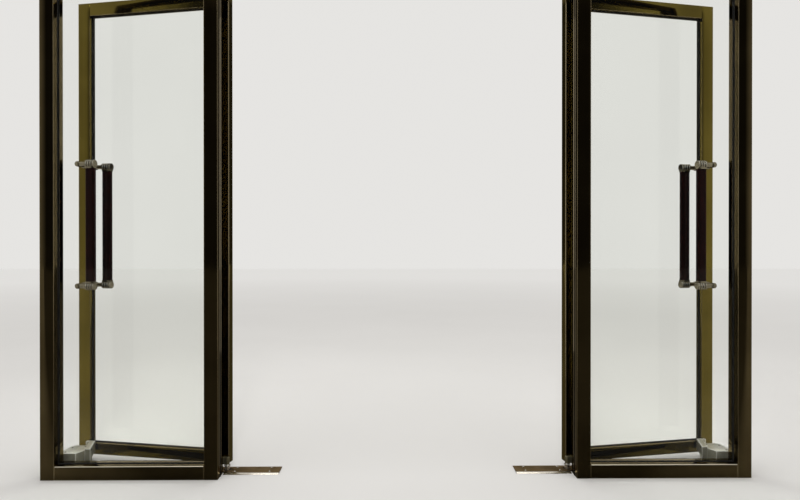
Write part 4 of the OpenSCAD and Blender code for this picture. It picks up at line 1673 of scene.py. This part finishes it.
@dataclass
class Studio:
    """Pale floor, soft lamps, plain world, and the camera at the photograph's viewpoint."""

    centre_x: float = SCREEN.centre_x
    eye: Triple = (SCREEN.centre_x - 0.023, -3.023, 1.10)
    focal_px: float = 627.0
    picture_w: float = 800.0
    sensor: float = 36.0
    turn: float = 0.0110
    nod: float = 0.0032
    floor_size: float = 60.0
    floor_z: float = -0.0005
    floor_light: Triple = (0.80, 0.785, 0.76)
    floor_dark: Triple = (0.78, 0.765, 0.74)
    floor_far: Triple = (0.96, 0.95, 0.93)
    floor_mirrored: Triple = (0.20, 0.19, 0.17)
    aside_fade: tuple[float, float] = (1.1, 1.7)
    aside_slant: float = 0.7
    far_fade: tuple[float, float] = (3.5, 20.0)
    room_light: Triple = (0.93, 0.925, 0.915)
    room_power: float = 0.84
    room_seen: Triple = (0.79, 0.78, 0.76)
    room_dim: Triple = (0.055, 0.053, 0.050)
    dim_ahead: tuple[float, float] = (0.74, 0.87)
    dim_behind: tuple[float, float] = (-0.985, -0.93)
    dim_behind_end: tuple[float, float] = (-0.60, -0.50)
    dim_height: tuple[float, float] = (0.35, 0.55)

    def camera(self) -> None:
        """Sets up the camera, turned slightly to the right and down as in the photograph."""
        data = bpy.data.cameras.new("viewpoint")
        data.sensor_width = self.sensor
        data.lens = self.focal_px / self.picture_w * self.sensor
        data.clip_start, data.clip_end = 0.05, 200
        camera = bpy.data.objects.new("viewpoint", data)
        camera.location = self.eye
        camera.rotation_euler = (QUARTER - self.nod, 0, -self.turn)
        bpy.context.collection.objects.link(camera)
        bpy.context.scene.camera = camera

    def lamp(
        self, name: str, at: Triple, aim: Triple, size: tuple[float, float], watts: float, matt: bool = True
    ) -> None:
        """Adds a soft rectangular lamp.

        Args:
            name: Name of the lamp.
            at: Where it hangs, from the middle of the doorway.
            aim: The point that it faces, from there too.
            size: Its width and height.
            watts: Its power.
            matt: True if it also lights matt surfaces.
        """
        data = bpy.data.lights.new(name, "AREA")
        data.shape, data.energy = "RECTANGLE", watts
        data.size, data.size_y = size
        lamp = bpy.data.objects.new(name, data)
        lamp.location = Vector(at) + Vector((self.centre_x, 0, 0))
        lamp.rotation_euler = (Vector(aim) - Vector(at)).to_track_quat("-Z", "Y").to_euler()
        lamp.visible_camera, lamp.visible_transmission, lamp.visible_diffuse = False, False, matt
        bpy.context.collection.objects.link(lamp)

    def floor(self) -> None:
        """Lays a wide pale floor, which metal mirrors dark ahead of the screen and behind it, and pale at the sides."""
        bpy.ops.mesh.primitive_plane_add(size=self.floor_size, location=(self.centre_x, 0, self.floor_z))
        floor = Piece("studio_floor").settle()
        skin = Surface("pale_floor", Roughness=0.7, Specular_IOR_Level=0.0)
        tone = skin.drift(0.5, self.floor_dark, self.floor_light)
        mirrored = skin.maths("MINIMUM", skin.add("ShaderNodeLightPath").outputs["Glossy Depth"], 1.0)
        spot = skin.add("ShaderNodeSeparateXYZ", Vector=skin.place).outputs
        across = skin.maths("ABSOLUTE", skin.maths("SUBTRACT", spot["X"], self.centre_x))
        slant = skin.maths("MULTIPLY", skin.maths("ABSOLUTE", spot["Y"]), self.aside_slant)
        between = skin.span(skin.maths("SUBTRACT", across, slant), *self.aside_fade, 1.0, 0.0)
        far = skin.span(skin.vector("LENGTH", skin.place, "Value"), *self.far_fade)
        pale = skin.blend(far, tone["Color"], self.floor_far)
        colour = skin.blend(skin.maths("MULTIPLY", mirrored, between), pale, self.floor_mirrored)
        skin.tree.links.new(colour, skin.shader.inputs["Base Color"])
        floor.dress(skin.material)

    def world(self) -> None:
        """Lights the scene evenly, and shows metal a pale room that is dim straight ahead and in a band behind."""
        world = bpy.data.worlds.new("pale_room")
        bpy.context.scene.world = world
        world.use_nodes = True
        sheet = Sheet(world.node_tree)
        path = sheet.add("ShaderNodeLightPath").outputs
        seen = sheet.maths("MAXIMUM", path["Is Glossy Ray"], path["Is Transmission Ray"])
        seen = sheet.maths("MAXIMUM", path["Is Camera Ray"], seen)
        way = sheet.add("ShaderNodeTexCoord").outputs["Generated"]
        level = sheet.vector("NORMALIZE", sheet.vector("MULTIPLY", way, i1=(1.0, 1.0, 0.0)))
        front = sheet.vector("DOT_PRODUCT", level, "Value", i1=(0.0, -1.0, 0.0))
        ahead = sheet.span(front, *self.dim_ahead)
        behind = sheet.maths(
            "MULTIPLY", sheet.span(front, *self.dim_behind), sheet.span(front, *self.dim_behind_end, 1.0, 0.0)
        )
        behind = sheet.maths("MULTIPLY", behind, sheet.maths("SUBTRACT", 1.0, path["Is Transmission Ray"]))
        height = sheet.add("ShaderNodeSeparateXYZ", Vector=way).outputs["Z"]
        low = sheet.span(height, *self.dim_height, 1.0, 0.0)
        dim = sheet.maths("MULTIPLY", sheet.maths("MAXIMUM", ahead, behind), low)
        dim = sheet.maths("MULTIPLY", dim, sheet.maths("MINIMUM", path["Glossy Depth"], 1.0))
        lit = sheet.add("ShaderNodeBackground", Color=self.room_light, Strength=self.room_power).outputs[0]
        colour = sheet.blend(dim, self.room_seen, self.room_dim)
        shown = sheet.add("ShaderNodeBackground", Color=colour, Strength=1.0).outputs[0]
        both = sheet.add("ShaderNodeMixShader", i0=seen, i1=lit, i2=shown).outputs[0]
        sheet.add("ShaderNodeOutputWorld", Surface=both)

    def build(self) -> None:
        """Sets the whole studio up."""
        self.camera()
        self.floor()
        self.world()
        self.lamp("key", at=(-0.2, -3.6, 4.6), aim=(0, 0, 1.2), size=(0.5, 0.5), watts=46)
        self.lamp("over_back", at=(0, 2.6, 4.6), aim=(0, 0, 1.2), size=(3.4, 1.4), watts=40)
        self.lamp("back_strip", at=(0, 3.6, 1.5), aim=(0, 0, 1.4), size=(0.5, 4.0), watts=3.2, matt=False)
        bpy.context.scene.view_settings.view_transform = "Standard"


def main() -> None:
    """Builds the dressed screen."""
    logging.basicConfig(level=logging.INFO, format="%(name)s: %(message)s")
    finishes = Finishes()
    for part in (ScreenFrame, Glazing, DoorLeaf, PullHandles, FloorPivot, HeadPivot, DoorHolder, CentreStop):
        part(finishes).build()
    Studio().build()
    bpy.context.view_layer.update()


if __name__ == "__main__":
    main()
